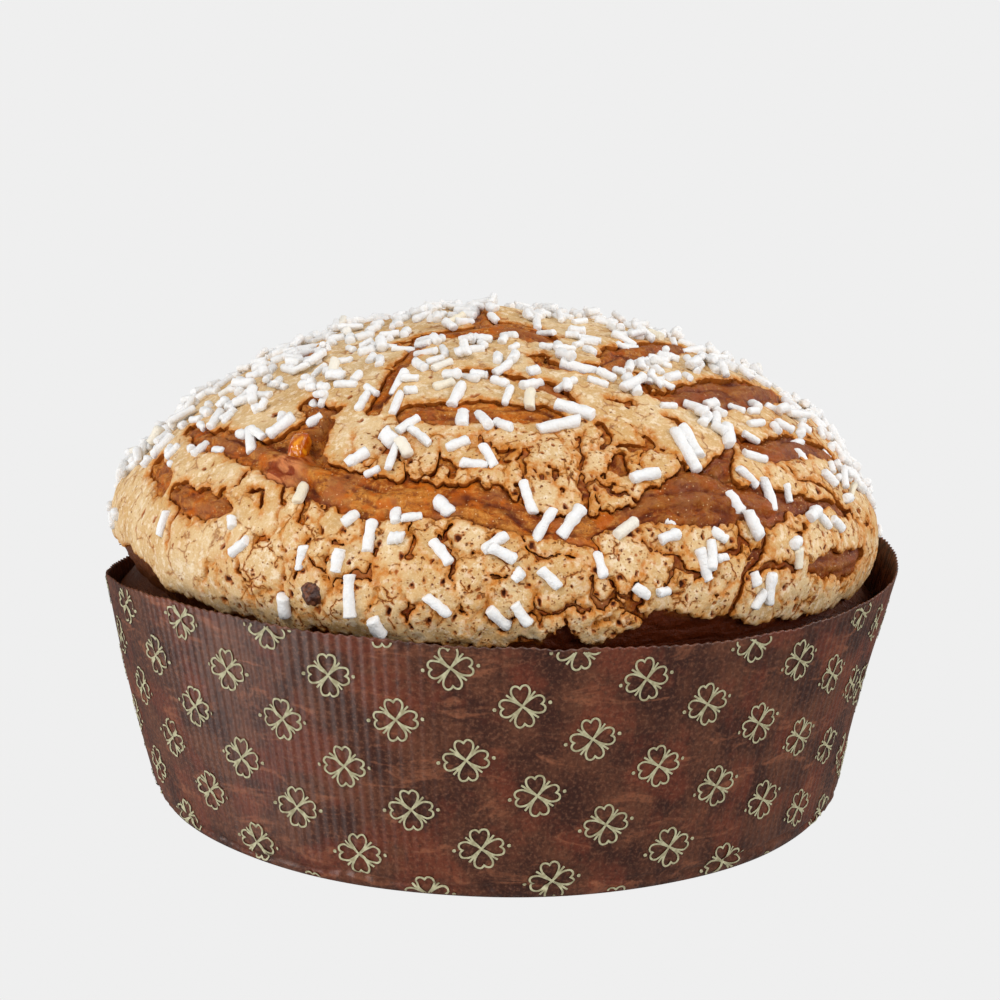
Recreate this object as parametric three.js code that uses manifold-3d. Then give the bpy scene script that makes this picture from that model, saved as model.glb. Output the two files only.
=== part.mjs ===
// Panettone: a domed sweet loaf with a cracked sugar-and-almond glaze and sugar rods, in its
// pleated paper case. Millimetres, +Z up. The origin is the middle of the case's foot, on the
// surface that it stands on, and the front faces -Y.
//
// Places on the dome are given on a map of its surface, measured with a tape from the top:
// a is the distance to the right (+X) and b the distance to the front (-Y).

import * as THREE from 'three';
import { mergeVertices } from 'three/addons/utils/BufferGeometryUtils.js';
import Module from 'manifold-3d';

const wasm = await Module();
wasm.setup();

// Paper case
const CASE_RIM_RADIUS = 110;
const CASE_FOOT_RADIUS = 97;
const CASE_HEIGHT = 65;
const CASE_WALL = 1.2;
const CASE_FOOT_INSET = 1;
const CASE_CREASE_HEIGHT = 3;
const CASE_BULGE = 0.7;
const RIM_LEAN = 1.4;
const RIM_WAVE = 2;
const RIM_DIP = 6.8;
const RIM_DIP_TURN = -94;
const RIM_DIP_WIDTH = 27;
const CASE_SIDES = 96;
const FIT_GAP = 0.3;

// Dome of the loaf, out to the top of its glaze
const DOME_RADIUS = 106.6;
const DOME_RISE = 63.6;
const DOME_LEVEL = 66;
const DOME_FULLNESS = 1.92;
const BELLY_HEIGHT = 80;
const NECK_HEIGHT = 60;
const BELLY_SLOPE = 0.33;
const BELLY_TUCK = 0.026;
const WALL_TOP = 52;

// Glaze and the cracks in it
const GLAZE_THICKNESS = 1.8;
const DOUGH_SWELL = 0.8;
const RING_STEP = 5.4;
const LIP = 0.45;
const SNAP_REACH = 0.46 * RING_STEP;

// Sugar rods
const ROD_SIDES = 6;
const ROD_SUNK = 0.32;
const ROD_TRIALS = 3600;
const ROD_COUNT = 130;
const ROD_SPACING = 1.25;
const SEED = 11;

const clamp01 = (x) => Math.min(1, Math.max(0, x));
const lerp = (p, q, t) => p + (q - p) * t;
const smooth = (from, to, x) => {
  const t = clamp01((x - from) / (to - from));
  return t * t * (3 - 2 * t);
};
const chance = (index, salt) => {
  const wave = Math.sin(index * 12.9898 + salt * 78.233 + SEED) * 43758.5453;
  return wave - Math.floor(wave);
};

// The dome is uneven: places on the map that rise or sink, with how far round them.
const SWELLS = [
  { a: -2, b: 11, reach: 8, rise: 2.2 },
  { a: -84, b: -12, reach: 12, rise: -2.6 },
  { a: -104, b: 15, reach: 8, rise: -1.6 },
  { a: -128, b: 20, reach: 20, rise: 2.4 },
  { a: 112, b: 17, reach: 13, rise: -2.4 },
  { a: 92, b: 0, reach: 10, rise: -1 },
];

// Each crack is a stroke over the map: its points are [a, b, half of its width].
const FRONT_CRACKS = [
  [[-87, 38, 1.2], [-81, 49, 3.4], [-75, 57.5, 4], [-70, 64, 3.8], [-64, 71, 4.4], [-58, 76, 6],
    [-53, 81, 7], [-46, 89, 5.2], [-40, 93.5, 5.6], [-30, 99.5, 5.4], [-20, 100.7, 4.6],
    [-10, 102, 4], [-2, 104.7, 4.6], [3, 105.5, 4.4], [7, 107, 3.5], [15, 107.8, 3.5],
    [22, 107.5, 3.4], [30, 103.5, 2.3], [36, 99.5, 2.8], [40, 96.5, 5], [45, 94, 6.2],
    [50, 90.5, 7.2], [55, 88, 7.4], [60, 86, 5.6], [65, 84.5, 5.2], [70, 81.5, 5.2],
    [75, 77.5, 4.4], [80, 74, 3.4], [85, 70, 1.4], [91, 65, 0.8], [98, 60, 2]],
  [[56, 80, 3], [58, 73, 2.2], [59.5, 67.5, 1.2]],
  [[-46, 66, 3], [-45.8, 73, 3.6], [-47.5, 79, 3.4]],
  [[-58, 70, 2.5], [-51, 69.5, 3.5], [-46, 68, 3]],
  [[-50, 58, 2], [-47, 63, 2.5], [-42, 66, 1.5]],
  [[-91, 64.5, 1.5], [-87, 70, 4], [-82, 76.5, 4.6], [-77, 81, 3], [-72, 85, 1.2]],
  [[-99, 42, 2.5], [-96, 50, 3.5], [-93, 59, 2.5]],
  [[-53, 14, 2], [-52, 24, 3], [-49, 32, 1.5]],
  [[-19, 31, 2.5], [-10, 29.5, 5], [-2, 28.5, 7.5], [6, 30, 6], [12, 33, 3.5]],
  [[-5, 10, 1.5], [-6, 16, 2.2], [-4, 22, 4]],
  [[-22, 32, 2.2], [-23.5, 44, 2.2], [-25.5, 52, 2], [-29.5, 62, 2.4], [-32, 69, 1.8]],
  [[-24, 73.5, 3.2], [-14, 74.5, 4.2], [0, 74.5, 4.2], [9, 74.5, 3.4], [13, 75, 1.6]],
  [[-12, 57, 1], [-7, 57.5, 1.6], [0, 58.5, 1], [8, 60, 1.4], [12, 62, 1.6], [17, 68, 1.2]],
  [[9, 46, 2.2], [10, 50, 1.6], [18, 52, 1.6], [26, 50, 2.4], [29, 42, 4.4], [33, 31, 4.6],
    [38, 24, 4.8], [45, 18, 4.2], [49, 12, 2]],
  [[34.5, 50, 0.8], [38, 57, 1.6], [43, 57, 1.8], [48, 52, 4.2], [54, 46, 6], [60, 40, 6.8],
    [67, 31, 6], [73, 22, 4], [79, 13, 1.8]],
  [[60, 60, 1.2], [64, 63, 3.2], [70, 60, 3.6], [76, 54, 3.6], [82, 47, 3.6], [89, 41, 3],
    [94, 34, 1.4]],
  [[90, 87, 1.2], [97, 80.5, 3.6], [104, 73.5, 4], [109, 66, 3.6], [112, 58, 2]],
  [[29.5, 85, 1.8], [29.5, 88.5, 2]],
];

// The far side has short cracks that follow the rings round the dome, by one seeded rule.
function backCracks() {
  const cracks = [];
  const rows = [
    { reach: 30, count: 2, span: 15 },
    { reach: 58, count: 4, span: 20 },
    { reach: 86, count: 5, span: 22 },
    { reach: 112, count: 7, span: 18 },
  ];
  rows.forEach((row, r) => {
    for (let i = 0; i < row.count; i += 1) {
      const turn = lerp(100, 260, (i + 0.5 + 0.4 * (chance(i, r) - 0.5)) / row.count);
      const reach = row.reach + 9 * (chance(i, r + 10) - 0.5);
      const width = 2.6 + 3.4 * chance(i, r + 20);
      const crack = [];
      for (const t of [-1, -0.4, 0.3, 1]) {
        const angle = THREE.MathUtils.degToRad(turn) + (t * row.span) / reach;
        const out = reach + 7 * t * (chance(i, r + 30) - 0.5);
        crack.push([out * Math.sin(angle), out * Math.cos(angle), width * (1.1 - t * t)]);
      }
      cracks.push(crack);
    }
  });
  return cracks;
}

const CRACKS = [...FRONT_CRACKS, ...backCracks()];

// How far down the map the glaze runs: [degrees round from the front to the right, reach].
const GLAZE_HEM = [
  [-180, 137], [-150, 134], [-120, 138], [-95, 135], [-75, 131], [-64, 130.5], [-57.5, 132.5],
  [-53, 136.5], [-46, 138], [-38, 139], [-24, 139.5], [-3, 139.5], [5.5, 138], [8.2, 131],
  [10.5, 137.5], [13, 138.5], [17, 134.5], [20, 130], [25, 132.5], [31, 133.5], [36, 137],
  [46, 139], [62, 141], [90, 142], [115, 136], [140, 138], [180, 137],
];

// The biggest rods on the front: [a and b of one end, a and b of the other, diameter].
const PLACED_RODS = [
  [-60, 67, -53, 63, 3], [-65.5, 60, -65.5, 69, 2.6], [-50, 66, -46, 64.5, 2.6],
  [-38.5, 87, -33, 84.5, 3], [-27, 73.5, -25, 66, 2.2], [-25.5, 80.5, -20.5, 76, 2.4],
  [-29, 80, -26, 84, 4], [-25, 84, -22.5, 89, 2.8], [-50, 89, -51.5, 94.5, 2.6],
  [-39.5, 104, -36, 101.5, 2.6], [-26, 102.5, -26, 106.5, 2.6], [-24.5, 106, -19.5, 105.5, 2],
  [-16, 101, -12, 105.5, 3.4], [-32, 104.5, -34, 112, 2.7], [-28, 110, -24, 110.5, 3],
  [-41, 109.5, -43, 114.5, 2.7], [-39.5, 116, -42, 125.5, 3], [-61, 114, -64, 119, 3],
  [-35.5, 127, -34.5, 132.5, 3.2], [-17, 112, -12.5, 118, 2.6], [-19.5, 124.5, -13.5, 129.5, 2.5],
  [-4, 115.5, 2, 111.5, 2.6], [13.5, 104, 9, 112.5, 2.4], [20.5, 102.5, 15.5, 110.5, 3.2],
  [5.5, 98, 8.5, 105.5, 2.4], [34.5, 102.5, 29.5, 108, 2.8], [32.5, 92, 39.5, 88, 3],
  [-9.5, 74, -9.5, 80, 3], [-6, 74.5, -3, 81.5, 2.6], [-1.5, 78.5, 2.5, 82, 2.6],
  [9, 81, 19, 77, 3], [13, 71.5, 22.5, 74.5, 3.2], [7, 67, 7, 73, 2.7],
  [-10, 64, -12.5, 71.5, 2.8], [14.5, 50, 24, 52.5, 3.2], [31, 53, 34, 60.5, 3],
  [45, 69.5, 50, 78, 3], [43, 72, 50, 82.5, 2.8], [58, 60, 58.5, 68, 3.3],
  [58.5, 84, 63.5, 88.5, 3.2], [63.5, 88.5, 68.5, 93.5, 3.1], [68.5, 73.5, 73.5, 81, 2.5],
  [84, 76, 86.5, 71, 3.2], [41, 106, 46, 102.5, 2.8], [52, 104, 57, 110, 2.6],
  [55, 97.5, 59, 99, 2.5], [10.5, 119, 16, 122.5, 2.6], [4.5, 127, 9, 131.5, 2.7],
  [-2.5, 128.5, 3.5, 133.5, 2.8], [76, 98, 80, 104.5, 2.8], [76, 103, 75, 108.5, 2.3],
];
const CANDIED_PEEL = { a: -52, b: 76, radius: 3.4, rise: -2.6 };
const RAISIN = { a: -52, b: 117, radius: 4.2, rise: -2.2 };

// Case wall radius at a turn from the front and a height, out to its outer face.
function caseRadius(turn, z) {
  const t = z / CASE_HEIGHT;
  const flare = lerp(CASE_FOOT_RADIUS, CASE_RIM_RADIUS, t);
  const inset = CASE_FOOT_INSET * clamp01(1 - z / CASE_CREASE_HEIGHT);
  return flare - inset - CASE_BULGE * Math.sin(turn) * 4 * t * (1 - t);
}

function rimHeight(turn) {
  const fromDip = THREE.MathUtils.radToDeg(turn > Math.PI ? turn - 2 * Math.PI : turn) - RIM_DIP_TURN;
  const dip = RIM_DIP * Math.exp(-((fromDip / RIM_DIP_WIDTH) ** 2));
  return CASE_HEIGHT + RIM_LEAN * Math.sin(turn) - RIM_WAVE * Math.sin(2 * turn) - dip;
}

// Half section of the dome from its top to its neck, as radius, height and arc length.
function domeSection() {
  const points = [];
  const power = 2 / DOME_FULLNESS;
  const belly = Math.acos(((BELLY_HEIGHT - DOME_LEVEL) / DOME_RISE) ** (1 / power));
  const steps = 400;
  for (let i = 0; i <= steps; i += 1) {
    const t = (belly * i) / steps;
    points.push([DOME_RADIUS * Math.sin(t) ** power, DOME_LEVEL + DOME_RISE * Math.cos(t) ** power]);
  }
  const bellyRadius = points[steps][0];
  for (let down = 0.25; down <= BELLY_HEIGHT - NECK_HEIGHT; down += 0.25) {
    points.push([bellyRadius + BELLY_SLOPE * down - BELLY_TUCK * down * down, BELLY_HEIGHT - down]);
  }
  let reach = 0;
  return points.map(([r, z], i) => {
    if (i > 0) reach += Math.hypot(r - points[i - 1][0], z - points[i - 1][1]);
    return { r, z, reach };
  });
}

const SECTION = domeSection();
const NECK_REACH = SECTION[SECTION.length - 1].reach;

function sectionAt(reach) {
  let low = 0;
  let high = SECTION.length - 1;
  while (high - low > 1) {
    const mid = (low + high) >> 1;
    if (SECTION[mid].reach > reach) high = mid;
    else low = mid;
  }
  const from = SECTION[low];
  const to = SECTION[high];
  const t = clamp01((reach - from.reach) / (to.reach - from.reach));
  return { r: lerp(from.r, to.r, t), z: lerp(from.z, to.z, t), dr: to.r - from.r, dz: to.z - from.z };
}

// A point of the dome by its place on the map, raised off the surface along its normal.
function onDome(a, b, rise = 0) {
  const reach = Math.hypot(a, b);
  const { r, z, dr, dz } = sectionAt(reach);
  const slope = Math.hypot(dr, dz);
  const radius = r - (rise * dz) / slope;
  const across = reach > 0 ? a / reach : 0;
  const ahead = reach > 0 ? b / reach : 1;
  return new THREE.Vector3(radius * across, -radius * ahead, z + (rise * dr) / slope);
}

// Distance on the map to a stroke, less half of its width there: below 0 inside it.
function strokeDistance(a, b, stroke) {
  let nearest = Infinity;
  for (let i = 1; i < stroke.length; i += 1) {
    const [a0, b0, w0] = stroke[i - 1];
    const [a1, b1, w1] = stroke[i];
    const [da, db] = [a1 - a0, b1 - b0];
    const t = clamp01(((a - a0) * da + (b - b0) * db) / (da * da + db * db));
    const gap = Math.hypot(a - a0 - t * da, b - b0 - t * db) - lerp(w0, w1, t);
    nearest = Math.min(nearest, gap);
  }
  return nearest;
}

function hemReach(turn) {
  const degrees = THREE.MathUtils.radToDeg(turn);
  const next = GLAZE_HEM.findIndex(([at]) => at >= degrees);
  const [from, to] = [GLAZE_HEM[Math.max(next, 1) - 1], GLAZE_HEM[Math.max(next, 1)]];
  return lerp(from[1], to[1], clamp01((degrees - from[0]) / (to[0] - from[0])));
}

// Above 0 on the glaze and below 0 where the dough lies bare, in millimetres from the edge.
function glazeDistance(a, b) {
  const ragged = 0.5 * Math.sin(a / 2.3 + b / 3.1) * Math.sin(b / 2.7 - a / 4.3);
  let nearest = hemReach(Math.atan2(a, b)) - Math.hypot(a, b);
  for (const crack of CRACKS) nearest = Math.min(nearest, strokeDistance(a, b, crack));
  return nearest + ragged;
}

function unevenness(a, b) {
  let rise = 0.45 * Math.sin(a / 9 + 1.3) * Math.sin(b / 11 - 0.6);
  rise += 0.35 * Math.sin((a + b) / 6.5) * Math.sin((a - b) / 7.7 + 2);
  for (const swell of SWELLS) {
    const away = ((a - swell.a) ** 2 + (b - swell.b) ** 2) / swell.reach ** 2;
    rise += swell.rise * Math.exp(-away);
  }
  return rise;
}

// Height of the skin over the smooth dome: the glaze, and cracks that open down to the dough.
function relief(a, b, glaze) {
  const rise = unevenness(a, b);
  if (glaze > 0) return rise;
  return rise - GLAZE_THICKNESS + DOUGH_SWELL * smooth(-1, -6, glaze);
}

// Moves a map point that is near the glaze's edge onto the edge's lip or its foot.
function snapToEdge(a, b) {
  const glaze = glazeDistance(a, b);
  const target = glaze > 0 ? LIP : -LIP;
  const travel = target - glaze;
  if (Math.abs(travel) > SNAP_REACH) return { a, b, glaze };
  const step = 0.2;
  const slopeA = (glazeDistance(a + step, b) - glazeDistance(a - step, b)) / (2 * step);
  const slopeB = (glazeDistance(a, b + step) - glazeDistance(a, b - step)) / (2 * step);
  const steep = Math.max(0.4, slopeA * slopeA + slopeB * slopeB);
  return { a: a + (travel * slopeA) / steep, b: b + (travel * slopeB) / steep, glaze: target };
}

// Joins two closed rings of vertex numbers, which may differ in count, with triangles.
function zipRings(triangles, inner, outer) {
  let i = 0;
  let o = 0;
  while (i < inner.length || o < outer.length) {
    const innerNext = (i + 1) / inner.length;
    const outerNext = (o + 1) / outer.length;
    const fromInner = inner[i % inner.length];
    const fromOuter = outer[o % outer.length];
    if (o < outer.length && (outerNext <= innerNext || i >= inner.length)) {
      triangles.push(fromInner, fromOuter, outer[(o + 1) % outer.length]);
      o += 1;
    } else {
      triangles.push(fromInner, fromOuter, inner[(i + 1) % inner.length]);
      i += 1;
    }
  }
}

// Closes a ring with a fan to one middle point.
function fanRing(triangles, ring, middle, facingOut) {
  ring.forEach((from, i) => {
    const to = ring[(i + 1) % ring.length];
    if (facingOut) triangles.push(middle, from, to);
    else triangles.push(middle, to, from);
  });
}

function addRing(points, count, place) {
  const ring = [];
  for (let i = 0; i < count; i += 1) {
    ring.push(points.length / 3);
    points.push(...place((2 * Math.PI * i) / count).toArray());
  }
  return ring;
}

function asGeometry(points, triangles) {
  const geometry = new THREE.BufferGeometry();
  geometry.setAttribute('position', new THREE.Float32BufferAttribute(points, 3));
  geometry.setIndex(triangles);
  return geometry;
}

function asSolid(geometry) {
  const bare = geometry.clone();
  bare.deleteAttribute('normal');
  bare.deleteAttribute('uv');
  const merged = mergeVertices(bare, 1e-5);
  const mesh = new wasm.Mesh({
    numProp: 3,
    vertProperties: new Float32Array(merged.attributes.position.array),
    triVerts: new Uint32Array(merged.index.array),
  });
  return new wasm.Manifold(mesh);
}

function fromSolid(solid) {
  const { vertProperties, triVerts } = solid.getMesh();
  return asGeometry(Array.from(vertProperties), Array.from(triVerts));
}

// The loaf without its toppings: the cracked dome, and the body baked against the case.
function loafCore() {
  const points = onDome(0, 0, relief(0, 0, glazeDistance(0, 0))).toArray();
  const triangles = [];
  const ringCount = Math.floor(NECK_REACH / RING_STEP);
  let last = null;
  for (let k = 1; k <= ringCount; k += 1) {
    const reach = (NECK_REACH * k) / ringCount;
    const ring = addRing(points, 6 * k, (turn) => {
      const [a, b] = [reach * Math.sin(turn), reach * Math.cos(turn)];
      if (k === ringCount) return onDome(a, b, -GLAZE_THICKNESS);
      const spot = snapToEdge(a, b);
      const onMap = Math.min(1, NECK_REACH / Math.hypot(spot.a, spot.b));
      return onDome(spot.a * onMap, spot.b * onMap, relief(spot.a, spot.b, spot.glaze));
    });
    if (last) zipRings(triangles, last, ring);
    else fanRing(triangles, ring, 0, true);
    last = ring;
  }
  const bottom = CASE_WALL + FIT_GAP;
  for (const z of [WALL_TOP, WALL_TOP / 2, bottom]) {
    const ring = addRing(points, CASE_SIDES, (turn) => {
      const r = caseRadius(turn, z) - CASE_WALL - FIT_GAP;
      return new THREE.Vector3(r * Math.sin(turn), -r * Math.cos(turn), z);
    });
    zipRings(triangles, last, ring);
    last = ring;
  }
  const middle = points.length / 3;
  points.push(0, 0, bottom);
  fanRing(triangles, last, middle, false);
  return asSolid(asGeometry(points, triangles));
}

// How thickly the sugar lies, from 0 to 1: heavy over the top and the flanks, thin in front.
function sugarDensity(a, b) {
  const reach = Math.hypot(a, b);
  const front = Math.max(0, b / Math.max(reach, 1));
  const back = Math.max(0, -b / Math.max(reach, 1));
  const limit = 118 - 56 * front ** 1.5 - 20 * back;
  const clumps = 0.6 + 0.4 * Math.sin(a / 8 + 2 * Math.sin(b / 13)) * Math.sin(b / 9 - 1);
  return 0.05 + 0.95 * clumps * (1 - 0.6 * back) * smooth(limit + 14, limit - 10, reach);
}

// Rods of the scatter, drawn in order from a seeded rule.
function scatteredRods() {
  const rods = [];
  for (let i = 0; i < ROD_TRIALS; i += 1) {
    const reach = 134 * Math.sqrt(chance(i, 1));
    const turn = 2 * Math.PI * chance(i, 2);
    const [a, b] = [reach * Math.sin(turn), reach * Math.cos(turn)];
    const wanted = chance(i, 3) < sugarDensity(a, b) && glazeDistance(a, b) > -1.5;
    if (!wanted) continue;
    const angle = Math.PI * chance(i, 4);
    const length = 3.2 + 4.6 * chance(i, 5) ** 1.5;
    const diameter = 1.9 + 1.2 * chance(i, 6);
    const [da, db] = [0.5 * length * Math.cos(angle), 0.5 * length * Math.sin(angle)];
    rods.push([a - da, b - db, a + da, b + db, diameter]);
  }
  return rods;
}

const rodSize = ([a0, b0, a1, b1, diameter]) => Math.hypot(a1 - a0, b1 - b0) * diameter;

// The rods that the solid carries: the placed ones, then the largest of the scatter that fit.
function solidRods() {
  const kept = [...PLACED_RODS];
  const loose = scatteredRods().sort((p, q) => rodSize(q) - rodSize(p));
  for (const rod of loose) {
    if (kept.length >= ROD_COUNT) break;
    const [a0, b0, a1, b1, diameter] = rod;
    const clear = kept.every((other) => {
      const line = [[other[0], other[1], 0], [other[2], other[3], 0]];
      const room = 0.5 * (diameter + other[4]) + ROD_SPACING;
      return [0, 0.5, 1].every((t) => strokeDistance(lerp(a0, a1, t), lerp(b0, b1, t), line) > room);
    });
    if (clear) kept.push(rod);
  }
  return kept;
}

function rodSolid([a0, b0, a1, b1, diameter]) {
  const rise = (0.5 - ROD_SUNK) * diameter;
  const start = onDome(a0, b0, relief(a0, b0, 1) + rise);
  const end = onDome(a1, b1, relief(a1, b1, 1) + rise);
  const axis = end.clone().sub(start);
  const rod = new THREE.CylinderGeometry(diameter / 2, diameter / 2, axis.length(), ROD_SIDES);
  const turn = new THREE.Quaternion().setFromUnitVectors(
    new THREE.Vector3(0, 1, 0),
    axis.clone().normalize(),
  );
  rod.applyQuaternion(turn);
  rod.translate(...start.add(end).multiplyScalar(0.5).toArray());
  return asSolid(rod);
}

function lumpSolid({ a, b, radius, rise }) {
  const lump = new THREE.IcosahedronGeometry(radius, 1);
  lump.translate(...onDome(a, b, rise).toArray());
  return asSolid(lump);
}

function loaf() {
  const toppings = solidRods().map(rodSolid);
  toppings.push(lumpSolid(CANDIED_PEEL), lumpSolid(RAISIN));
  let whole = loafCore();
  for (const topping of toppings) whole = whole.add(topping);
  const bodies = whole.decompose().sort((p, q) => q.volume() - p.volume());
  return fromSolid(bodies[0]);
}

// The paper case: a flared cup whose rim rises and falls a little.
function paperCase() {
  const points = [];
  const triangles = [];
  const wallRing = (height, inset, floor = 0) => addRing(points, CASE_SIDES, (turn) => {
    const z = Math.max(floor, height * rimHeight(turn));
    const r = caseRadius(turn, z) - inset;
    return new THREE.Vector3(r * Math.sin(turn), -r * Math.cos(turn), z);
  });
  const levels = [1, 0.75, 0.5, 0.25, CASE_CREASE_HEIGHT / CASE_HEIGHT];
  const rings = [
    ...levels.slice().reverse().map((level) => wallRing(level, CASE_WALL)),
    ...levels.map((level) => wallRing(level, 0)),
    wallRing(0, 0),
  ];
  rings.unshift(wallRing(0, CASE_WALL, CASE_WALL));
  for (let i = 1; i < rings.length; i += 1) zipRings(triangles, rings[i - 1], rings[i]);
  const floorMiddle = points.length / 3;
  points.push(0, 0, CASE_WALL);
  fanRing(triangles, rings[0], floorMiddle, true);
  const footMiddle = points.length / 3;
  points.push(0, 0, 0);
  fanRing(triangles, rings[rings.length - 1], footMiddle, false);
  return asGeometry(points, triangles);
}

function piece(name, geometry, color, roughness) {
  geometry.computeVertexNormals();
  const material = new THREE.MeshStandardMaterial({ color, roughness, metalness: 0 });
  const mesh = new THREE.Mesh(geometry, material);
  mesh.name = name;
  return mesh;
}

const panettone = new THREE.Group();
panettone.add(piece('loaf', loaf(), 0xd9b48a, 0.7));
panettone.add(piece('paper_case', paperCase(), 0x5a3a30, 0.6));

export default panettone;
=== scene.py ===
"""Panettone with a cracked glaze and sugar rods, in its fluted paper case.

Sizes are millimetres until a mesh is made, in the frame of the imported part: +Z up, the front
faces -Y, and the case stands on Z = 0. Places on the dome are given on a map of its surface,
measured with a tape from the top: a is the distance to the right and b to the front.
"""

import math

import bpy
import numpy as np
from mathutils import Matrix, Vector


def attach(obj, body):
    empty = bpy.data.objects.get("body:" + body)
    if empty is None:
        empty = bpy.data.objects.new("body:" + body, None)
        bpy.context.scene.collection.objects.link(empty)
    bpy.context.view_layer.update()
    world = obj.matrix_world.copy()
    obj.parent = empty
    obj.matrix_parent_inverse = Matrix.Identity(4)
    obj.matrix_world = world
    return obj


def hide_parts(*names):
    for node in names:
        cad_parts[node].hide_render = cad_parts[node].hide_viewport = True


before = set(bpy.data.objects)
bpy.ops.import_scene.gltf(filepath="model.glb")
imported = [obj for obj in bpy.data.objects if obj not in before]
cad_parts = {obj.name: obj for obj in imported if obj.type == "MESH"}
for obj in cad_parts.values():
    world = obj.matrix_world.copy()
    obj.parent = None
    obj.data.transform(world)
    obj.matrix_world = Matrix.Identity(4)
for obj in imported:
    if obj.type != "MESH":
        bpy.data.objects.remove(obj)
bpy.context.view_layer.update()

MM = 0.001
SEED = 11

# Paper case
CASE_RIM_RADIUS = 110
CASE_FOOT_RADIUS = 97
CASE_HEIGHT = 65
CASE_WALL = 1.2
CASE_FOOT_INSET = 1
CASE_CREASE_HEIGHT = 3
CASE_BULGE = 0.7
RIM_LEAN = 1.4
RIM_WAVE = 2
RIM_DIP = 6.8
RIM_DIP_TURN = math.radians(-94)
RIM_DIP_WIDTH = math.radians(27)
FLUTE_COUNT = 250
FLUTE_DEPTH = 0.42
FLUTE_STEPS = 8
FLAT_FLUTES_TURN = 0.45
PAPER = 0.4
SEAM_TURN = math.radians(68)
SEAM_GAP = 0.002

# Dome of the loaf, out to the top of its glaze
DOME_RADIUS = 106.6
DOME_RISE = 63.6
DOME_LEVEL = 66
DOME_FULLNESS = 1.92
BELLY_HEIGHT = 80
NECK_HEIGHT = 60
BELLY_SLOPE = 0.33
BELLY_TUCK = 0.026
WALL_TOP = 52

# Glaze and the cracks in it
GLAZE_THICKNESS = 1.8
GLAZE_SKIRT = 1.6
GLAZE_UNDERCUT = 0.5
PIT_DEPTH = 0.9
DOUGH_SWELL = 0.8
DOUGH_LAP = 0.7
DOUGH_LIFT = 0.9
DOUGH_ROLL = 2.7
NECK_GAP = 0.3
GLAZE_RINGS = 177
DOUGH_RINGS = 168
FRONT_SKEW = 0.24

# Candied peel with the wet film of dough beside it, and a raisin
PEEL_PLACE = (-51.5, 75.5)
FILM_PLACE = (-56, 82)
FILM_SPREAD = 60
RAISIN_PLACE = (-52, 117)

# Sugar rods
ROD_TRIALS = 3600
ROD_SIDES = 9
ROD_SUNK = 0.32
ROD_SUNK_ON_OTHERS = 0.2
ROD_PILE_LIMIT = 0.42
SCATTERED_WIDTH = 0.9
PEEL_CLEARANCE = 6

# Grid of heights that the rods are laid on
GRID_CELL = 0.5
GRID_REACH = 146

# Camera, fitted to the outline of the case in the photograph
CAMERA_DISTANCE = 480
CAMERA_RISE = math.radians(10.93)
CAMERA_AIM = 76.6
CAMERA_ROLL = math.radians(1.11)
SENSOR = 36
LENS = 61.45

# Strength of the backdrop as seen, as it lights the part, and as the part mirrors it
BACKDROP = 0.863
AMBIENT = 0.46
REFLECTED = 0.2

# Lights in metres and watts: name, place, size and power. All of them aim at one height of the part.
LIGHTS_AIM = 70
LIGHTS = [
    ("key", (-0.5, -0.85, 1.15), 0.7, 9),
    ("side", (-1.0, -0.45, -0.15), 0.9, 6.5),
    ("fill", (0.9, -0.75, 0.5), 0.8, 7),
    ("edge", (0.8, 0.35, 0.45), 0.5, 2.5),
]

# Printed clovers: a slanted lattice on the unrolled wall, from its middle clover
PRINT_RADIUS = 104
PRINT_ORIGIN = np.array([-10.5, 59.3])
PRINT_STEPS = np.array([[16.5, -8.9], [-12.6, -13.9]])
PRINT_SAG = 12
PRINT_FLARE = 0.0025
PRINT_LINE = 0.5
PRINT_LIFT = 0.25
PRINT_TURN = math.radians(8.5)
LEAF_LENGTH = 5.1
LEAF_WIDTH = 4.3
DOT_REACH = 6.4
DOT_RADIUS = 0.22

# The dome is uneven: places that rise or sink, as a, b, how far round them, and the height.
SWELLS = [
    [-2, 11, 8, 2.2],
    [-84, -12, 12, -2.6],
    [-104, 15, 8, -1.6],
    [-128, 20, 20, 2.4],
    [112, 17, 13, -2.4],
    [92, 0, 10, -1],
]

# Hollows in the bare dough, as a, b, how far along a and b from their middle, and the depth.
POCKETS = [
    [-46.5, 75, 3.6, 8, 5],
    [-43.5, 70, 3, 4, 2.5],
    [-66.5, 81, 4, 3.5, 2],
    [-40.5, 66, 4, 2.5, 2],
    [41, 61, 4, 2.2, 1.6],
    [65, 63, 4, 2.5, 1.4],
    [-26, 60, 2.2, 6, 1.2],
]

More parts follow.
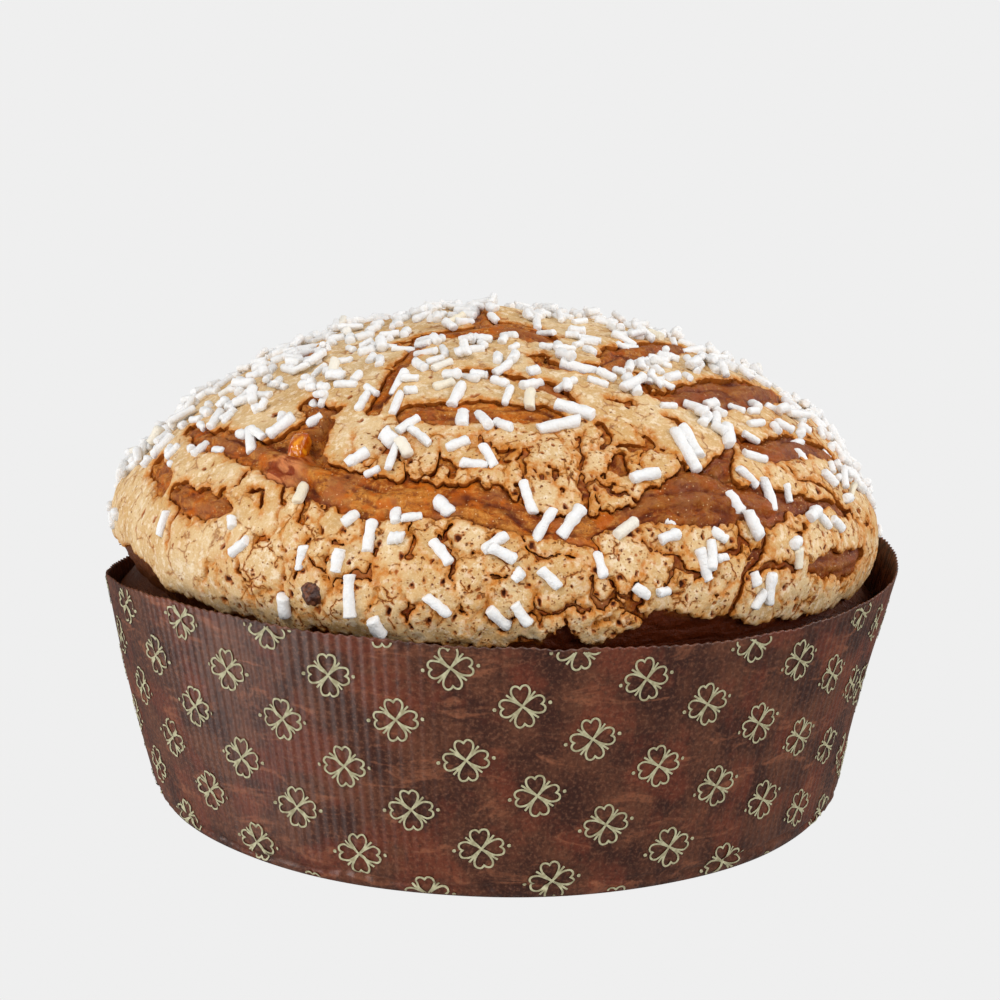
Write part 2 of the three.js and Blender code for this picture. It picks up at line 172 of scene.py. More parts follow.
# Each crack is a stroke over the map: its points are [a, b, half of its width].
FRONT_CRACKS = [
    [[-87, 38, 1.2], [-81, 49, 3.4], [-75, 57.5, 4], [-70, 64, 3.8], [-64, 71, 4.4], [-58, 76, 6],
     [-53, 81, 7], [-46, 89, 5.2], [-40, 93.5, 5.6], [-30, 99.5, 5.4], [-20, 100.7, 4.6],
     [-10, 102, 4], [-2, 104.7, 4.6], [3, 105.5, 4.4], [7, 107, 3.5], [15, 107.8, 3.5],
     [22, 107.5, 3.4], [30, 103.5, 2.3], [36, 99.5, 2.8], [40, 96.5, 5], [45, 94, 6.2],
     [50, 90.5, 7.2], [55, 88, 7.4], [60, 86, 5.6], [65, 84.5, 5.2], [70, 81.5, 5.2],
     [75, 77.5, 4.4], [80, 74, 3.4], [85, 70, 1.4], [91, 65, 0.8], [98, 60, 2]],
    [[56, 80, 3], [58, 73, 2.2], [59.5, 67.5, 1.2]],
    [[-46, 66, 3], [-45.8, 73, 3.6], [-47.5, 79, 3.4]],
    [[-58, 70, 2.5], [-51, 69.5, 3.5], [-46, 68, 3]],
    [[-50, 58, 2], [-47, 63, 2.5], [-42, 66, 1.5]],
    [[-91, 64.5, 1.5], [-87, 70, 4], [-82, 76.5, 4.6], [-77, 81, 3], [-72, 85, 1.2]],
    [[-99, 42, 2.5], [-96, 50, 3.5], [-93, 59, 2.5]],
    [[-53, 14, 2], [-52, 24, 3], [-49, 32, 1.5]],
    [[-19, 31, 2.5], [-10, 29.5, 5], [-2, 28.5, 7.5], [6, 30, 6], [12, 33, 3.5]],
    [[-5, 10, 1.5], [-6, 16, 2.2], [-4, 22, 4]],
    [[-22, 32, 2.2], [-23.5, 44, 2.2], [-25.5, 52, 2], [-29.5, 62, 2.4], [-32, 69, 1.8]],
    [[-24, 73.5, 3.2], [-14, 74.5, 4.2], [0, 74.5, 4.2], [9, 74.5, 3.4], [13, 75, 1.6]],
    [[-12, 57, 1], [-7, 57.5, 1.6], [0, 58.5, 1], [8, 60, 1.4], [12, 62, 1.6], [17, 68, 1.2]],
    [[9, 46, 2.2], [10, 50, 1.6], [18, 52, 1.6], [26, 50, 2.4], [29, 42, 4.4], [33, 31, 4.6],
     [38, 24, 4.8], [45, 18, 4.2], [49, 12, 2]],
    [[34.5, 50, 0.8], [38, 57, 1.6], [43, 57, 1.8], [48, 52, 4.2], [54, 46, 6], [60, 40, 6.8],
     [67, 31, 6], [73, 22, 4], [79, 13, 1.8]],
    [[60, 60, 1.2], [64, 63, 3.2], [70, 60, 3.6], [76, 54, 3.6], [82, 47, 3.6], [89, 41, 3],
     [94, 34, 1.4]],
    [[90, 87, 1.2], [97, 80.5, 3.6], [104, 73.5, 4], [109, 66, 3.6], [112, 58, 2]],
    [[29.5, 85, 1.8], [29.5, 88.5, 2]],
]

# Cracks too narrow for the solid, listed the same way.
HAIR_CRACKS = [
    [[20, 81, 0.5], [20, 88, 0.6], [19, 93, 0.4], [21.5, 98, 0.8], [21.5, 105, 0.7]],
    [[6, 87, 0.9], [5, 92, 1.2], [7, 96, 0.4], [4.5, 100, 0.4]],
    [[15, 111, 0.5], [20, 111.5, 0.9], [26, 112, 0.5], [27, 116, 0.5]],
    [[24, 118, 0.4], [25, 123, 0.6], [29, 125, 0.8], [31, 121, 0.7], [34, 124, 0.5],
     [41, 123.5, 0.8], [44, 126, 0.9]],
    [[57, 103, 0.4], [60, 101, 0.8], [64, 98.5, 0.5]],
    [[47, 110, 0.5], [53, 111, 0.9], [58, 107, 0.6]],
    [[69.5, 89, 1], [70.5, 93, 0.9], [68, 102, 0.8], [68, 109, 1], [69, 115, 0.6]],
    [[70, 102, 0.6], [79, 94, 1.4], [84, 91, 0.8]],
    [[76, 61, 0.5], [80, 64, 0.8], [85, 61, 0.5], [92, 59, 0.9], [97, 60, 0.8], [102, 54, 0.6]],
    [[-95, 77, 0.9], [-91, 73, 0.8], [-88, 70, 0.8]],
    [[-73.5, 79, 0.6], [-74, 83, 0.7]],
    [[-67.5, 77, 0.5], [-70, 80.5, 0.5]],
    [[-56, 88, 0.5], [-56, 92.5, 0.6]],
    [[-49.5, 91, 0.8], [-44.5, 92.5, 1]],
    [[-49, 95, 0.7], [-51.5, 98.5, 0.6]],
    [[-66, 84, 0.5], [-63, 86, 0.7], [-62, 91, 0.5]],
    [[-56, 112, 0.4], [-52, 107, 0.5], [-50, 104, 0.3]],
    [[-28, 33, 0.8], [-24, 33, 1.2]],
    [[15, 130, 0.4], [19, 127.5, 0.5], [26, 126.5, 0.4]],
    [[-14, 111, 0.8], [-11, 115, 0.5], [-12, 121, 0.7]],
    [[24, 84, 0.6], [27, 80, 0.8], [25, 76, 0.9]],
    [[28, 96, 0.5], [24, 94, 0.7], [21, 97, 0.5]],
    [[30, 80.5, 0.7], [34, 80, 1.1], [37.5, 79, 0.9], [36.5, 75, 0.5]],
    [[27, 64.5, 0.9], [31, 64.5, 0.9]],
    [[41.5, 65, 0.8], [46, 69, 1.2]],
]

# How far down the map the glaze runs: degrees round from the front to the right, and reach.
GLAZE_HEM = [
    [-180, 137], [-150, 134], [-120, 138], [-95, 135], [-75, 131], [-64, 130.5], [-57.5, 132.5],
    [-53, 136.5], [-46, 138], [-38, 139], [-24, 139.5], [-3, 139.5], [5.5, 138], [8.2, 131],
    [10.5, 137.5], [13, 138.5], [17, 134.5], [20, 130], [25, 132.5], [31, 133.5], [36, 137],
    [46, 139], [62, 141], [90, 142], [115, 136], [140, 138], [180, 137],
]

# The biggest rods on the front: a and b of one end, a and b of the other, diameter.
PLACED_RODS = [
    [-60, 67, -53, 63, 3], [-65.5, 60, -65.5, 69, 2.6], [-50, 66, -46, 64.5, 2.6],
    [-38.5, 87, -33, 84.5, 3], [-27, 73.5, -25, 66, 2.2], [-25.5, 80.5, -20.5, 76, 2.4],
    [-29, 80, -26, 84, 4], [-25, 84, -22.5, 89, 2.8], [-50, 89, -51.5, 94.5, 2.6],
    [-39.5, 104, -36, 101.5, 2.6], [-26, 102.5, -26, 106.5, 2.6], [-24.5, 106, -19.5, 105.5, 2],
    [-16, 101, -12, 105.5, 3.4], [-32, 104.5, -34, 112, 2.7], [-28, 110, -24, 110.5, 3],
    [-41, 109.5, -43, 114.5, 2.7], [-39.5, 116, -42, 125.5, 3], [-61, 114, -64, 119, 3],
    [-35.5, 127, -34.5, 132.5, 3.2], [-17, 112, -12.5, 118, 2.6],
    [-19.5, 124.5, -13.5, 129.5, 2.5], [-4, 115.5, 2, 111.5, 2.6], [13.5, 104, 9, 112.5, 2.4],
    [20.5, 102.5, 15.5, 110.5, 3.2], [5.5, 98, 8.5, 105.5, 2.4], [34.5, 102.5, 29.5, 108, 2.8],
    [32.5, 92, 39.5, 88, 3], [-9.5, 74, -9.5, 80, 3], [-6, 74.5, -3, 81.5, 2.6],
    [-1.5, 78.5, 2.5, 82, 2.6], [9, 81, 19, 77, 3], [13, 71.5, 22.5, 74.5, 3.2],
    [7, 67, 7, 73, 2.7], [-10, 64, -12.5, 71.5, 2.8], [14.5, 50, 24, 52.5, 3.2],
    [31, 53, 34, 60.5, 3], [45, 69.5, 50, 78, 3], [43, 72, 50, 82.5, 2.8],
    [58, 60, 58.5, 68, 3.3], [58.5, 84, 63.5, 88.5, 3.2], [63.5, 88.5, 68.5, 93.5, 3.1],
    [68.5, 73.5, 73.5, 81, 2.5], [84, 76, 86.5, 71, 3.2], [41, 106, 46, 102.5, 2.8],
    [52, 104, 57, 110, 2.6], [55, 97.5, 59, 99, 2.5], [10.5, 119, 16, 122.5, 2.6],
    [4.5, 127, 9, 131.5, 2.7], [-2.5, 128.5, 3.5, 133.5, 2.8], [76, 98, 80, 104.5, 2.8],
    [76, 103, 75, 108.5, 2.3],
]


# Random values and noise that repeat from run to run

def chance(index, salt):
    """A draw from 0 to 1, the same rule that places the rods of the solid."""
    wave = math.sin(index * 12.9898 + salt * 78.233 + SEED) * 43758.5453
    return wave - math.floor(wave)


def smooth(start, stop, x):
    """0 before the start, 1 past the stop, and a soft step between them."""
    t = np.clip((x - start) / (stop - start), 0, 1)
    return t * t * (3 - 2 * t)


def angle_from(start, turn):
    """How far a turn lies past another, from half a turn before it to half a turn after."""
    return (turn - start + math.pi) % (2 * math.pi) - math.pi


def lattice(i, j, salt):
    """A random value from 0 to 1 for each pair of whole numbers."""
    n = (i.astype(np.int64) * 374761393 + j.astype(np.int64) * 668265263 + salt * 974634777) & 0xFFFFFFFF
    n = ((n ^ (n >> 13)) * 1274126177) & 0xFFFFFFFF
    n = ((n ^ (n >> 16)) * 668265263) & 0xFFFFFFFF
    return ((n ^ (n >> 15)) & 0xFFFFFF) / 0xFFFFFF


def noise(x, y, size, salt):
    """Smooth noise from -1 to 1, in bumps of about the size given."""
    u, v = x / size, y / size
    i, j = np.floor(u), np.floor(v)
    fu, fv = u - i, v - j
    fu = fu * fu * (3 - 2 * fu)
    fv = fv * fv * (3 - 2 * fv)
    low = lattice(i, j, salt) * (1 - fu) + lattice(i + 1, j, salt) * fu
    high = lattice(i, j + 1, salt) * (1 - fu) + lattice(i + 1, j + 1, salt) * fu
    return 2 * (low * (1 - fv) + high * fv) - 1


def fractal(x, y, size, salt, octaves=3):
    total = 0
    for k in range(octaves):
        turn = 0.6 + k
        u = x * math.cos(turn) - y * math.sin(turn)
        v = x * math.sin(turn) + y * math.cos(turn)
        total = total + 0.5 ** k * noise(u, v, size * 0.5 ** k, salt + 7 * k)
    return total / (2 - 0.5 ** (octaves - 1))


def cells(x, y, size, salt):
    """Distances to the nearest and second nearest of scattered points, and the nearest's draw."""
    u, v = x / size, y / size
    i, j = np.floor(u), np.floor(v)
    first = np.full(x.shape, 9.0)
    second = np.full(x.shape, 9.0)
    draw = np.zeros(x.shape)
    for di in (-1, 0, 1):
        for dj in (-1, 0, 1):
            ci, cj = i + di, j + dj
            pu = ci + 0.1 + 0.8 * lattice(ci, cj, salt)
            pv = cj + 0.1 + 0.8 * lattice(ci, cj, salt + 1)
            gap = np.hypot(pu - u, pv - v)
            closer = gap < first
            second = np.where(closer, first, np.minimum(second, gap))
            draw = np.where(closer, lattice(ci, cj, salt + 2), draw)
            first = np.where(closer, gap, first)
    return first * size, second * size, draw


# The dome and its map

def dome_section():
    """Half section of the dome from its top to its neck: radius, height and arc length."""
    power = 2 / DOME_FULLNESS
    belly = math.acos(((BELLY_HEIGHT - DOME_LEVEL) / DOME_RISE) ** (1 / power))
    t = np.linspace(0, belly, 401)
    r = DOME_RADIUS * np.sin(t) ** power
    z = DOME_LEVEL + DOME_RISE * np.cos(t) ** power
    down = np.arange(0.25, BELLY_HEIGHT - NECK_HEIGHT + 0.01, 0.25)
    r = np.concatenate([r, r[-1] + BELLY_SLOPE * down - BELLY_TUCK * down ** 2])
    z = np.concatenate([z, BELLY_HEIGHT - down])
    reach = np.concatenate([[0], np.cumsum(np.hypot(np.diff(r), np.diff(z)))])
    return r, z, reach


SECTION_R, SECTION_Z, SECTION_REACH = dome_section()
NECK_REACH = SECTION_REACH[-1]
TANGENT_R = np.gradient(SECTION_R, SECTION_REACH)
TANGENT_Z = np.gradient(SECTION_Z, SECTION_REACH)


def on_dome(a, b, rise=0.0):
    """Points of the dome by their places on the map, raised off it along its normal."""
    a, b = np.asarray(a, float), np.asarray(b, float)
    reach = np.maximum(np.hypot(a, b), 1e-9)
    tr = np.interp(reach, SECTION_REACH, TANGENT_R)
    tz = np.interp(reach, SECTION_REACH, TANGENT_Z)
    slope = np.hypot(tr, tz)
    radius = np.interp(reach, SECTION_REACH, SECTION_R) - rise * tz / slope
    height = np.interp(reach, SECTION_REACH, SECTION_Z) + rise * tr / slope
    return np.stack([radius * a / reach, -radius * b / reach, height], -1)


def at_turn(turn, radius, z):
    """Points by their turn from the front, distance from the axis and height."""
    return np.stack([radius * np.sin(turn), -radius * np.cos(turn), z + 0 * radius], -1)


def case_radius(turn, z):
    """Radius of the case's outer face at a turn from the front and a height."""
    t = z / CASE_HEIGHT
    flare = CASE_FOOT_RADIUS + (CASE_RIM_RADIUS - CASE_FOOT_RADIUS) * t
    inset = CASE_FOOT_INSET * np.clip(1 - z / CASE_CREASE_HEIGHT, 0, 1)
    return flare - inset - CASE_BULGE * np.sin(turn) * 4 * t * (1 - t)


def rim_height(turn):
    dip = RIM_DIP * np.exp(-((angle_from(RIM_DIP_TURN, turn) / RIM_DIP_WIDTH) ** 2))
    return CASE_HEIGHT + RIM_LEAN * np.sin(turn) - RIM_WAVE * np.sin(2 * turn) - dip


# Cracks and the edge of the glaze

def back_cracks():
    """The far side has short cracks that follow the rings round the dome, by one seeded rule."""
    # Each row: how far from the top, how many cracks, and half of their length
    rows = [(30, 2, 15), (58, 4, 20), (86, 5, 22), (112, 7, 18)]
    cracks = []
    for r, (row_reach, count, span) in enumerate(rows):
        for i in range(count):
            turn = math.radians(100 + 160 * (i + 0.5 + 0.4 * (chance(i, r) - 0.5)) / count)
            reach = row_reach + 9 * (chance(i, r + 10) - 0.5)
            width = 2.6 + 3.4 * chance(i, r + 20)
            crack = []
            for t in (-1, -0.4, 0.3, 1):
                angle = turn + t * span / reach
                out = reach + 7 * t * (chance(i, r + 30) - 0.5)
                crack.append([out * math.sin(angle), out * math.cos(angle), width * (1.1 - t * t)])
            cracks.append(crack)
    return cracks


CRACKS = FRONT_CRACKS + back_cracks()
FAR = 12.0


def stroke_field(a, b, stroke, flow=None, best=None):
    """Distance to a stroke less half its width, up to FAR. It may also note the flow along it."""
    points = np.array(stroke, float)
    low = points[:, :2].min(0) - points[:, 2].max() - FAR
    high = points[:, :2].max(0) + points[:, 2].max() + FAR
    near = np.flatnonzero((a > low[0]) & (a < high[0]) & (b > low[1]) & (b < high[1]))
    field = np.full(a.shape, FAR)
    if not len(near):
        return field
    pa, pb = a[near], b[near]
    nearest = np.full(pa.shape, FAR)
    along = np.zeros(pa.shape)
    across = np.zeros(pa.shape)
    start = 0.0
    for (a0, b0, w0), (a1, b1, w1) in zip(points[:-1], points[1:]):
        da, db = a1 - a0, b1 - b0
        length = math.hypot(da, db)
        t = np.clip(((pa - a0) * da + (pb - b0) * db) / length ** 2, 0, 1)
        gap = np.hypot(pa - a0 - t * da, pb - b0 - t * db) - w0 - t * (w1 - w0)
        closer = gap < nearest
        nearest = np.where(closer, gap, nearest)
        along = np.where(closer, start + ((pa - a0) * da + (pb - b0) * db) / length, along)
        across = np.where(closer, ((pb - b0) * da - (pa - a0) * db) / length, across)
        start += length
    field[near] = nearest
    if flow is not None:
        chosen = nearest < best[near]
        better = near[chosen]
        flow[better] = np.stack([along, across], 1)[chosen]
        best[better] = nearest[chosen]
    return field


def hem_reach(a, b):
    hem = np.array(GLAZE_HEM, float)
    return np.interp(np.degrees(np.arctan2(a, b)), hem[:, 0], hem[:, 1])


def crazing(a, b):
    """How finely the glaze is cracked and pitted, from 0 to 1: most in the lower front."""
    front = smooth(70, 92, b) * smooth(-62, -8, a) * smooth(96, 66, a)
    low = 0.55 * smooth(88, 104, b) * smooth(-105, -80, a)
    right = 0.5 * smooth(60, 80, a) * smooth(75, 95, np.hypot(a, b)) * smooth(-10, 20, b)
    back = 0.6 * smooth(0, -30, b) * smooth(-0.1, 0.5, noise(a, b, 30, 5))
    return np.clip(np.maximum.reduce([front, low, right, back]), 0, 1)


def glaze_field(a, b):
    """Millimetres to the glaze's edge: above 0 on the glaze, below 0 where the dough is bare."""
    wa, wb = a, b
    for size, shake, salt in ((7, 1.1, 21), (2.7, 0.65, 22), (1.3, 0.55, 23), (0.8, 0.3, 27)):
        wa = wa + shake * noise(a, b, size, salt)
        wb = wb + shake * noise(a, b, size, salt + 3)
    field = hem_reach(wa, wb) - np.hypot(wa, wb)
    whole = 3 * smooth(6, 1.5, field)
    for crack in CRACKS + HAIR_CRACKS:
        field = np.minimum(field, stroke_field(wa, wb, crack))
    craze = crazing(a, b)
    first, second, _ = cells(wa + 1.6 * noise(a, b, 4, 35), wb + 1.6 * noise(a, b, 4, 36), 12, 31)
    open_part = smooth(-0.25, 0.45, noise(a, b, 8, 33) + 0.7 * craze - 0.5)
    gap = 0.5 * (second - first) - 0.42 * craze * open_part + 0.4 * (1 - open_part) + whole
    field = np.minimum(field, np.where(craze > 0.05, gap, FAR))
    lace = smooth(0.05, 0.7, noise(a, b, 1.7, 28)) * smooth(3, 0.4, np.abs(field))
    field = field - 1.1 * lace * smooth(-0.3, 0.3, noise(a, b, 6, 29))
    return np.where(np.abs(field) < 0.05, np.where(field > 0, 0.05, -0.05), field)


def crack_flow(a, b, reach):
    """Where a point lies by its nearest crack: how far along it, and how far below its middle."""
    flow = np.stack([a, b], 1).astype(float)
    best = np.full(a.shape, float(reach))
    for crack in CRACKS:
        stroke_field(a, b, crack, flow, best)
    return flow, best < reach


# Heights over the smooth dome

def unevenness(a, b):
    rise = 0.45 * np.sin(a / 9 + 1.3) * np.sin(b / 11 - 0.6)
    rise = rise + 0.35 * np.sin((a + b) / 6.5) * np.sin((a - b) / 7.7 + 2)
    for swell_a, swell_b, reach, height in SWELLS:
        rise = rise + height * np.exp(-((a - swell_a) ** 2 + (b - swell_b) ** 2) / reach ** 2)
    return rise


def glaze_pits(a, b):
    """Depth of the larger pits in the glaze, from burst bubbles."""
    craze = crazing(a, b)
    wa = a + 0.7 * noise(a, b, 1.4, 43)
    wb = b + 0.7 * noise(a, b, 1.4, 44)
    first, _, draw = cells(wa, wb, 4.6, 41)
    share = 0.07 + 0.42 * craze
    radius = 0.5 + 0.8 * (draw / share) ** 2
    return np.where(draw < share, smooth(radius, 0.35 * radius, first), 0)


def glaze_rise(a, b, field):
    """Height of the glaze over the dome, and the depth of its pits from 0 to 1."""
    flow, beside = crack_flow(a, b, 6)
    above = np.where(beside, smooth(1.5, -1.5, flow[:, 1]), 0)
    thin = smooth(-0.45, 0.35, noise(a, b, 4.5, 56)) * (1 - 0.6 * above)
    feather = 0.35 + 0.2 * noise(a, b, 1.8, 55) + 1.1 * thin
    edge = 1 - (1 - np.clip(field / feather, 0, 1)) ** 2
    lifted = smooth(6, 0.6, field)
    curl = (0.1 + 0.25 * above) * lifted * smooth(-0.5, 0.5, noise(a, b, 9, 51))
    craze = crazing(a, b)
    grain = 0.18 * fractal(a, b, 2, 53, 3) + 0.42 * (0.3 + 0.7 * craze) * fractal(a, b, 6.5, 57, 2)
    grain = grain + 0.3 * craze * noise(a, b, 2.6, 59)
    pits = glaze_pits(a, b) * smooth(0.1, 0.6, field)
    rise = unevenness(a, b) + grain + curl - (0.3 + 0.7 * thin) * (1 - edge) - PIT_DEPTH * pits
    return rise, pits


def dough_rise(a, b, field, flow):
    """Height of the dough over the dome: under the glaze, and in torn rolls where it lies bare.
    It also gives how far up a roll each place lies, from 0 to 1.
    """
    u, v = flow[:, 0], flow[:, 1]
    inside = np.clip(-field, 0, FAR)
    bare = smooth(0.3, -0.3, field)
    shadowed = smooth(1, -1, v)
    crease = (0.2 + 0.35 * shadowed) * np.exp(-((inside / 1.1) ** 2)) * bare
    crease = crease * smooth(-0.5, 0.4, noise(a, b, 5, 68))
    across = v + 1.3 * noise(a, b, 8, 63)
    rolls = np.abs(noise(u * 0.16, across, 4.4, 65)) ** 0.75
    folds = np.abs(noise(u * 0.4, across, 2.3, 62)) ** 0.75
    roll = 0.7 * rolls + 0.3 * folds
    strands = 0.16 * noise(u * 0.35, v, 0.9, 61) + 0.14 * fractal(a, b, 1.6, 67, 2)
    torn = smooth(0.2, 2.2, inside)
    side = smooth(-1.5, 1.5, np.hypot(a, b) - hem_reach(a, b))
    risen = DOUGH_LIFT * bare * (1 - side) + DOUGH_SWELL * smooth(1, 6, inside) * (1 - 0.6 * side)
    rise = unevenness(a, b) - GLAZE_THICKNESS + risen - crease * (1 - 0.5 * side)
    rise = rise + ((DOUGH_ROLL * roll - 1) * (1 - 0.7 * side) + strands) * torn
    for pa, pb, ra, rb, depth in POCKETS:
        rise = rise - depth * np.exp(-(((a - pa) / ra) ** 2 + ((b - pb) / rb) ** 2) ** 2) * bare
    return rise - DOUGH_LAP * (1 - bare), roll


# Meshes

def build_mesh(name, points, *face_groups):
    """A mesh object from points in millimetres and arrays of faces, of one count each."""
    mesh = bpy.data.meshes.new(name)
    groups = [np.asarray(g, np.int32) for g in face_groups if len(g)]
    loops = np.concatenate([g.ravel() for g in groups])
    totals = np.concatenate([np.full(len(g), g.shape[1], np.int32) for g in groups])
    starts = np.concatenate([[0], np.cumsum(totals)[:-1]]).astype(np.int32)
    mesh.vertices.add(len(points))
    mesh.vertices.foreach_set("co", (np.asarray(points, float) * MM).astype(np.float32).ravel())
    mesh.loops.add(len(loops))
    mesh.loops.foreach_set("vertex_index", loops)
    mesh.polygons.add(len(totals))
    mesh.polygons.foreach_set("loop_start", starts)
    mesh.polygons.foreach_set("loop_total", totals)
    mesh.update(calc_edges=True)
    mesh.validate()
    mesh.shade_smooth()
    piece = bpy.data.objects.new(name, mesh)
    bpy.context.scene.collection.objects.link(piece)
    return piece


def add_values(piece, **values):
    """Numbers for the vertices that the piece's material reads by name, and 0 past a list's end."""
    for name, value in values.items():
        numbers = np.zeros(len(piece.data.vertices), np.float32)
        numbers[:len(value)] = value
        piece.data.attributes.new(name, "FLOAT", "POINT").data.foreach_set("value", numbers)


def finish_piece(piece, material, slot, *replaced):
    piece.data.materials.append(material)
    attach(piece, "root")
    if replaced:
        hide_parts(*replaced)


def disc_grid(radius, rings):
    """Rings of map points with six more in each, drawn together towards the front."""
    a, b, ring_starts = [0.0], [0.0], [0]
    for k in range(1, rings + 1):
        ring_starts.append(1 + 3 * k * (k - 1))
        angle = 2 * math.pi * np.arange(6 * k) / (6 * k)
        w = (k / rings) * (np.sin(angle) + 1j * np.cos(angle))
        w = (w + 1j * FRONT_SKEW) / (1 - 1j * FRONT_SKEW * w)
        a.extend(radius * w.real)
        b.extend(radius * w.imag)
    triangles = []
    for k in range(1, rings + 1):
        count = 6 * k
        outer = ring_starts[k] + np.arange(count)
        outer_next = ring_starts[k] + (np.arange(count) + 1) % count
        side = np.arange(count) // k
        step = np.arange(count) % k
        below = max(6 * (k - 1), 1)
        inner_start = ring_starts[k - 1]
        inner = inner_start + (side * (k - 1) + step) % below
        triangles.append(np.stack([inner, outer, outer_next], 1))
        if k > 1:
            bridge = step < k - 1
            inner_next = inner_start + (side * (k - 1) + step + 1) % below
            triangles.append(np.stack([inner, outer_next, inner_next], 1)[bridge])
    return np.array(a), np.array(b), np.concatenate(triangles), ring_starts[rings]


def clip_to_field(a, b, triangles, field):
    """Keeps the triangles where the field is above 0, and cuts those that cross its edge."""
    inside = field > 0
    count = inside[triangles].sum(1)
    kept = [triangles[count == 3]]
    crossings, cuts, rims = {}, [], []

    def crossing(p, q):
        key = (min(p, q), max(p, q))
        if key not in crossings:
            crossings[key] = len(a) + len(crossings)
        return crossings[key]

    for triangle in triangles[(count == 1) | (count == 2)].tolist():
        alone = [i for i in range(3) if inside[triangle[i]] == (sum(inside[triangle]) == 1)][0]
        p, q, r = triangle[alone], triangle[(alone + 1) % 3], triangle[(alone + 2) % 3]
        pq, pr = crossing(p, q), crossing(p, r)
        if inside[p]:
            cuts.append([p, pq, pr])
            rims.append([pq, pr])
        else:
            cuts.extend([[pq, q, r], [pq, r, pr]])
            rims.append([pr, pq])
    kept.append(np.array(cuts))
    pairs = np.array(list(crossings))
    share = field[pairs[:, 0]] / (field[pairs[:, 0]] - field[pairs[:, 1]])
    cut_a = a[pairs[:, 0]] + share * (a[pairs[:, 1]] - a[pairs[:, 0]])
    cut_b = b[pairs[:, 0]] + share * (b[pairs[:, 1]] - b[pairs[:, 0]])
    a, b = np.append(a, cut_a), np.append(b, cut_b)
    field = np.append(field, np.zeros(len(pairs)))
    return a, b, field, np.concatenate(kept), np.array(rims)


def compact(faces, *columns):
    """Drops the vertices that no face uses."""
    used, numbers = np.unique(faces, return_inverse=True)
    return (numbers.reshape(faces.shape), used, *[column[used] for column in columns])


def band(low, high):
    """Quads between two closed rings of vertices."""
    return np.stack([low, np.roll(low, -1), np.roll(high, -1), high], 1)


def fan(ring, middle):
    """Triangles from a closed ring of vertices to the one in its middle."""
    return np.stack([np.roll(ring, -1), ring, np.full(len(ring), middle)], 1)


# Pieces

def make_glaze(material):
    """The glaze as a sheet that is cut at its edge, with a side below its lip."""
    a, b, triangles, _ = disc_grid(NECK_REACH - 1, GLAZE_RINGS)
    a, b, field, triangles, rims = clip_to_field(a, b, triangles, glaze_field(a, b))
    triangles, used, a, b, field = compact(triangles, a, b, field)
    rims = np.searchsorted(used, rims)
    rise, pits = glaze_rise(a, b, field)
    top = on_dome(a, b, rise)
    lip = np.unique(rims)
    lip_a, lip_b = a[lip], b[lip]
    step = 0.25
    slope_a = glaze_field(lip_a + step, lip_b) - glaze_field(lip_a - step, lip_b)
    slope_b = glaze_field(lip_a, lip_b + step) - glaze_field(lip_a, lip_b - step)
    steep = np.maximum(np.hypot(slope_a, slope_b), 1e-6)
    under_a = lip_a + GLAZE_UNDERCUT * slope_a / steep
    under_b = lip_b + GLAZE_UNDERCUT * slope_b / steep
    under = on_dome(under_a, under_b, -GLAZE_THICKNESS - GLAZE_SKIRT)
    upper = np.full(len(a), -1)
    upper[lip] = len(a) + np.arange(len(lip))
    lower = upper + len(lip)
    skirt = np.stack([upper[rims[:, 1]], upper[rims[:, 0]], lower[rims[:, 0]], lower[rims[:, 1]]], 1)
    piece = build_mesh("glaze", np.concatenate([top, top[lip], under]), triangles, skirt)
    add_values(
        piece,
        edge=np.concatenate([field, field[lip] - 0.3, field[lip] - 1]),
        pit=pits,
        craze=np.append(crazing(a, b), np.full(2 * len(lip), 0.5)),
    )
    finish_piece(piece, material, "crust")


def make_dough(material):
    """The dough under and between the glaze, with the neck that fills the case."""
    a, b, triangles, last = disc_grid(NECK_REACH, DOUGH_RINGS)
    field = glaze_field(a, b)
    flow, _ = crack_flow(a, b, 3)
    beyond = np.hypot(a, b) - hem_reach(a, b)
    side = beyond > -3
    flow[side, 0] = (np.arctan2(a, b) * DOME_RADIUS)[side]
    flow[side, 1] = np.hypot(a, b)[side]
    rise, roll = dough_rise(a, b, field, flow)
    points = on_dome(a, b, rise)
    ring = np.arange(last, len(a))
    turn = np.arctan2(a[ring], b[ring])
    faces = []
    bottom = CASE_WALL + NECK_GAP
    for z in (WALL_TOP, WALL_TOP / 2, bottom):
        lower = len(points) + np.arange(len(ring))
        points = np.concatenate([points, at_turn(turn, case_radius(turn, z) - CASE_WALL - NECK_GAP, z)])
        faces.append(band(lower, ring))
        ring = lower
    foot = fan(ring, len(points))
    points = np.concatenate([points, [[0, 0, bottom]]])
    piece = build_mesh("dough", points, np.concatenate([triangles, foot]), np.concatenate(faces))
    hidden = np.ones(len(points) - len(a))
    film_a, film_b = FILM_PLACE
    add_values(
        piece,
        edge=np.append(field, -4 * hidden),
        flow_u=flow[:, 0],
        flow_v=flow[:, 1],
        roll=roll,
        film=np.exp(-((a - film_a) ** 2 + (b - film_b) ** 2) / FILM_SPREAD),
        hem=np.append(smooth(-1, 2, beyond), hidden),
    )
    finish_piece(piece, material, "crust", "loaf")


# Sugar

